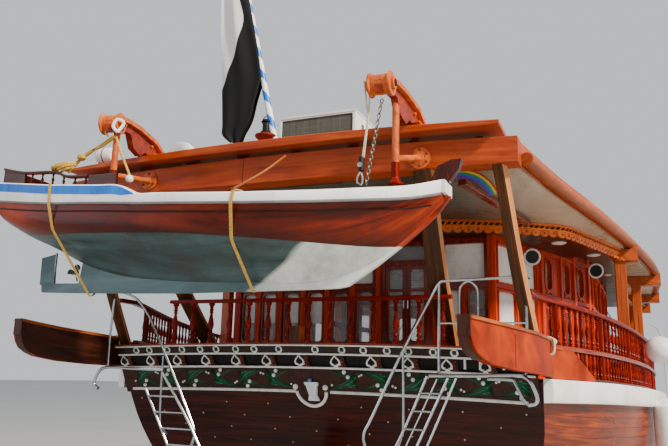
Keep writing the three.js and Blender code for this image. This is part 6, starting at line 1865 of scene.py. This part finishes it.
def mast():
    piece = Piece()
    a, b = Vector((0, 6.2, 3.06)), Vector((0, 8.0, 13.6))
    shares = steps(0, 1, 12)
    tube(piece, "spar", [a.lerp(b, t) for t in shares], [0.205 - 0.085 * t for t in shares], 24)
    run = (b - a).normalized()
    collar = [(0.22, 0.0), (0.26, 0.03), (0.26, 0.10), (0.22, 0.13)]
    for t in (0.0, 0.05):
        lathe(piece, "mahogany", collar, a.lerp(b, t), run, 24)
    truck = [(0.13, 0.0), (0.15, 0.01), (0.15, 0.09), (0.13, 0.10)]
    lathe(piece, "dark_iron", truck, a.lerp(b, 0.965), run, 20)
    return piece


def yard():
    piece = Piece()
    a, mid, b = Vector((0.62, -7.5, 7.3)), Vector((0.62, 3.2, 6.78)), Vector((0.62, 13.9, 6.2))
    shares = steps(0, 1, 8)
    tube(piece, "spar", [a.lerp(mid, t) for t in shares] + [mid.lerp(b, t) for t in shares[1:]],
         [0.055 + 0.055 * t for t in shares] + [0.11 - 0.055 * t for t in shares[1:]], 16)
    for t in steps(0.06, 0.94, 20):
        at = a.lerp(mid, t * 2) if t < 0.5 else mid.lerp(b, t * 2 - 1)
        radius = 0.055 + 0.11 * min(t, 1 - t)
        lathe(piece, "rope", [(radius + 0.004, -0.03), (radius + 0.012, -0.02), (radius + 0.012, 0.02),
                              (radius + 0.004, 0.03)], at, (b - a), 14)
    return piece


SENSOR, FOCAL_PIXELS, IMAGE_WIDE = 36.0, 700, 668
CAMERA_AT = (4.64, -23.30, 2.97)
CAMERA_PITCH, CAMERA_ROLL, CAMERA_HEADING = 12.35, 1.5, 23.0
FLOOR_HALF = 140.0
# Lamps: name, place, what it points at, width, power and colour.
LAMPS = (("key", (35, -27, 34), (0, -12, 3), 5.0, 46000, "fff0dc"),
         ("fill", (-24, -34, 12), (0, -12, 3), 16.0, 1200, "e8eeff"))


def set_camera():
    """The photograph's view: pitch up, roll and heading off the centreline, in degrees."""
    camera = bpy.data.cameras.new("camera")
    camera.sensor_width = SENSOR
    camera.lens = SENSOR * FOCAL_PIXELS / IMAGE_WIDE
    camera.clip_end = 500
    view = bpy.data.objects.new("camera", camera)
    bpy.context.scene.collection.objects.link(view)
    pitch, roll, heading = (math.radians(v) for v in (CAMERA_PITCH, CAMERA_ROLL, CAMERA_HEADING))
    ahead = Vector((-math.sin(heading) * math.cos(pitch), math.cos(heading) * math.cos(pitch),
                    math.sin(pitch)))
    level = Vector((math.cos(heading), math.sin(heading), 0))
    upright = level.cross(ahead)
    right = math.cos(roll) * level + math.sin(roll) * upright
    up = -math.sin(roll) * level + math.cos(roll) * upright
    turn = Matrix((right, up, -ahead)).transposed().to_4x4()
    view.matrix_world = Matrix.Translation(CAMERA_AT) @ turn
    bpy.context.scene.camera = view


def set_stage():
    """Floor at the waterline, even daylight and two lamps."""
    mesh = bpy.data.meshes.new("floor")
    corners = [(x, y, 0) for x, y in oblong(-FLOOR_HALF, FLOOR_HALF, -FLOOR_HALF, FLOOR_HALF)]
    mesh.from_pydata(corners, [], [(0, 1, 2, 3)])
    floor = bpy.data.objects.new("floor", mesh)
    mesh.materials.append(surface("floor", ("b4b5b5", "bcbdbd"), 0.75, coords="Object", scale=(0.3, 0.3, 0.3),
                                  rough_spread=0.05))
    bpy.context.scene.collection.objects.link(floor)
    world = bpy.data.worlds.new("studio")
    bpy.context.scene.world = world
    world.use_nodes = True
    background = world.node_tree.nodes["Background"]
    background.inputs["Color"].default_value = rgb("dfe3e6")
    background.inputs["Strength"].default_value = 0.95
    for name, where, aim, size, power, colour in LAMPS:
        light = bpy.data.lights.new(name, "AREA")
        light.size = size
        light.energy = power
        light.color = rgb(colour)[:3]
        lamp = bpy.data.objects.new(name, light)
        lamp.location = where
        lamp.rotation_euler = (Vector(aim) - Vector(where)).to_track_quat("-Z", "Y").to_euler()
        bpy.context.scene.collection.objects.link(lamp)


def finish_cad(name, stuff):
    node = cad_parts[name]
    node.data.materials.clear()
    node.data.materials.append(STUFF[stuff])


# Each piece: its shape, name, slot and body, and the solid that it replaces, if any.
hull_skin().make("hull_skin", "hull_brown", replaces=("hull_planking",), recalc=False)
for made, name, slot, *solids in (
        (bungs(), "plank_plugs", "hull_brown"),
        (frieze(), "frieze_carving", "carved_dark", "stern_frieze"),
        (stern_balustrade(), "stern_rail", "red_varnish", "stern_balustrade"),
        (sill_box(), "stern_sill", "red_varnish"),
        (stern_beam(), "stern_beam", "terracotta", "stern_roof_beam"),
        (roof_plank(), "stern_plank", "terracotta", "roof_plank"),
        (corner_arches(), "painted_arches", "white_paint"),
        (blinds(), "saloon_blinds", "white_paint"),
        (aft_wall(), "saloon_after_wall", "varnish", "saloon_wall_aft"),
        (front_wall(), "saloon_fore_wall", "varnish", "saloon_wall_front")):
    made.make(name, slot, replaces=solids)
for word, hand in SIDES.items():
    for made, name, slot, solid in (
            (bands(hand), "white_band_", "white_paint", "rubbing_band_"),
            (bulwark(hand, 10 if hand > 0 else 8), "side_rail_", "red_varnish", "bulwark_"),
            (wing(hand), "wing_plank_", "orange_varnish", "quarter_wing_"),
            (raked_post(hand, OUTER_POST), "outer_post_", "terracotta", "outer_raked_post_"),
            (raked_post(hand, INNER_POST), "inner_post_", "terracotta", "inner_raked_post_"),
            (roof_edge(hand), "roof_rim_", "terracotta", "roof_edge_"),
            (side_wall(hand), "saloon_side_", "varnish", "saloon_wall_"),
            (davit(word), "davit_arm_", "terracotta", "davit_")):
        made.make(name + word, slot, replaces=(solid + word,))
for made, name, slot, body, *solids in (
        (ladder_starboard(), "ladder_starboard", "stainless", "vessel", "boarding_ladder_starboard"),
        (ladder_port(), "ladder_port", "stainless", "vessel", "boarding_ladder_port"),
        (door_leaf(True), "door_leaf_inner", "varnish", "door_inner", "aft_door_inner_leaf"),
        (door_leaf(False), "door_leaf_outer", "varnish", "door_outer", "aft_door_outer_leaf"),
        (cornice(), "scalloped_cornice", "orange_varnish", "vessel", "roof_cornice"),
        (ceiling_fittings(), "ceiling_lights", "white_paint", "vessel"),
        (speakers(), "deck_speakers", "white_paint", "vessel"),
        (tackles(), "davit_tackles", "stainless", "vessel"),
        (boat_hull(), "slung_hull", "boat_brown", "vessel", "boat_hull"),
        (boat_rail(), "slung_rail", "white_paint", "vessel", "boat_rubbing_rail"),
        (boat_keel(), "slung_keel", "boat_grey", "vessel", "boat_keel"),
        (boat_rudder(), "slung_rudder", "boat_grey", "boat_rudder", "boat_rudder"),
        (boat_propeller(), "slung_propeller", "bronze", "boat_propeller", "boat_propeller"),
        (boat_stern_rail(), "slung_stern_rail", "dark_red", "vessel", "boat_stern_rail"),
        (boat_fittings(), "slung_fittings", "varnish", "vessel"),
        (air_conditioner(), "roof_unit", "unit_white", "vessel", "air_conditioner"),
        (dome(), "antenna_dome", "dome_white", "vessel", "satellite_dome"),
        (canister(), "life_canister", "dome_white", "vessel"),
        (lantern(), "stern_lantern", "dark_red", "vessel"),
        (flagstaff(), "striped_staff", "staff_paint", "vessel", "flagstaff")):
    made.make(name, slot, body, solids)
hung = flag().make("slack_flag", "flag_cloth", replaces=("flag",), angle=180)
for made, name, slot, *solids in (
        (hull_gear(), "side_fenders", "white_paint"),
        (mast(), "mainmast", "spar", "mast"),
        (yard(), "long_yard", "spar", "lateen_yard")):
    made.make(name, slot, replaces=solids)
for node_name, stuff_name in (("main_deck", "deck"), ("roof_deck", "roof"), ("roof_soffit", "soffit"),
                              ("keel_and_stem", "stem"), ("rudder", "under"), ("propeller", "bronze"),
                              ("saloon_glazing", "glass"), ("mast_stays", "tarred"),
                              ("yard_crutch_aft", "timber"), ("yard_crutch_fore", "timber"),
                              ("mooring_bitts", "timber")):
    finish_cad(node_name, stuff_name)

set_stage()
set_camera()
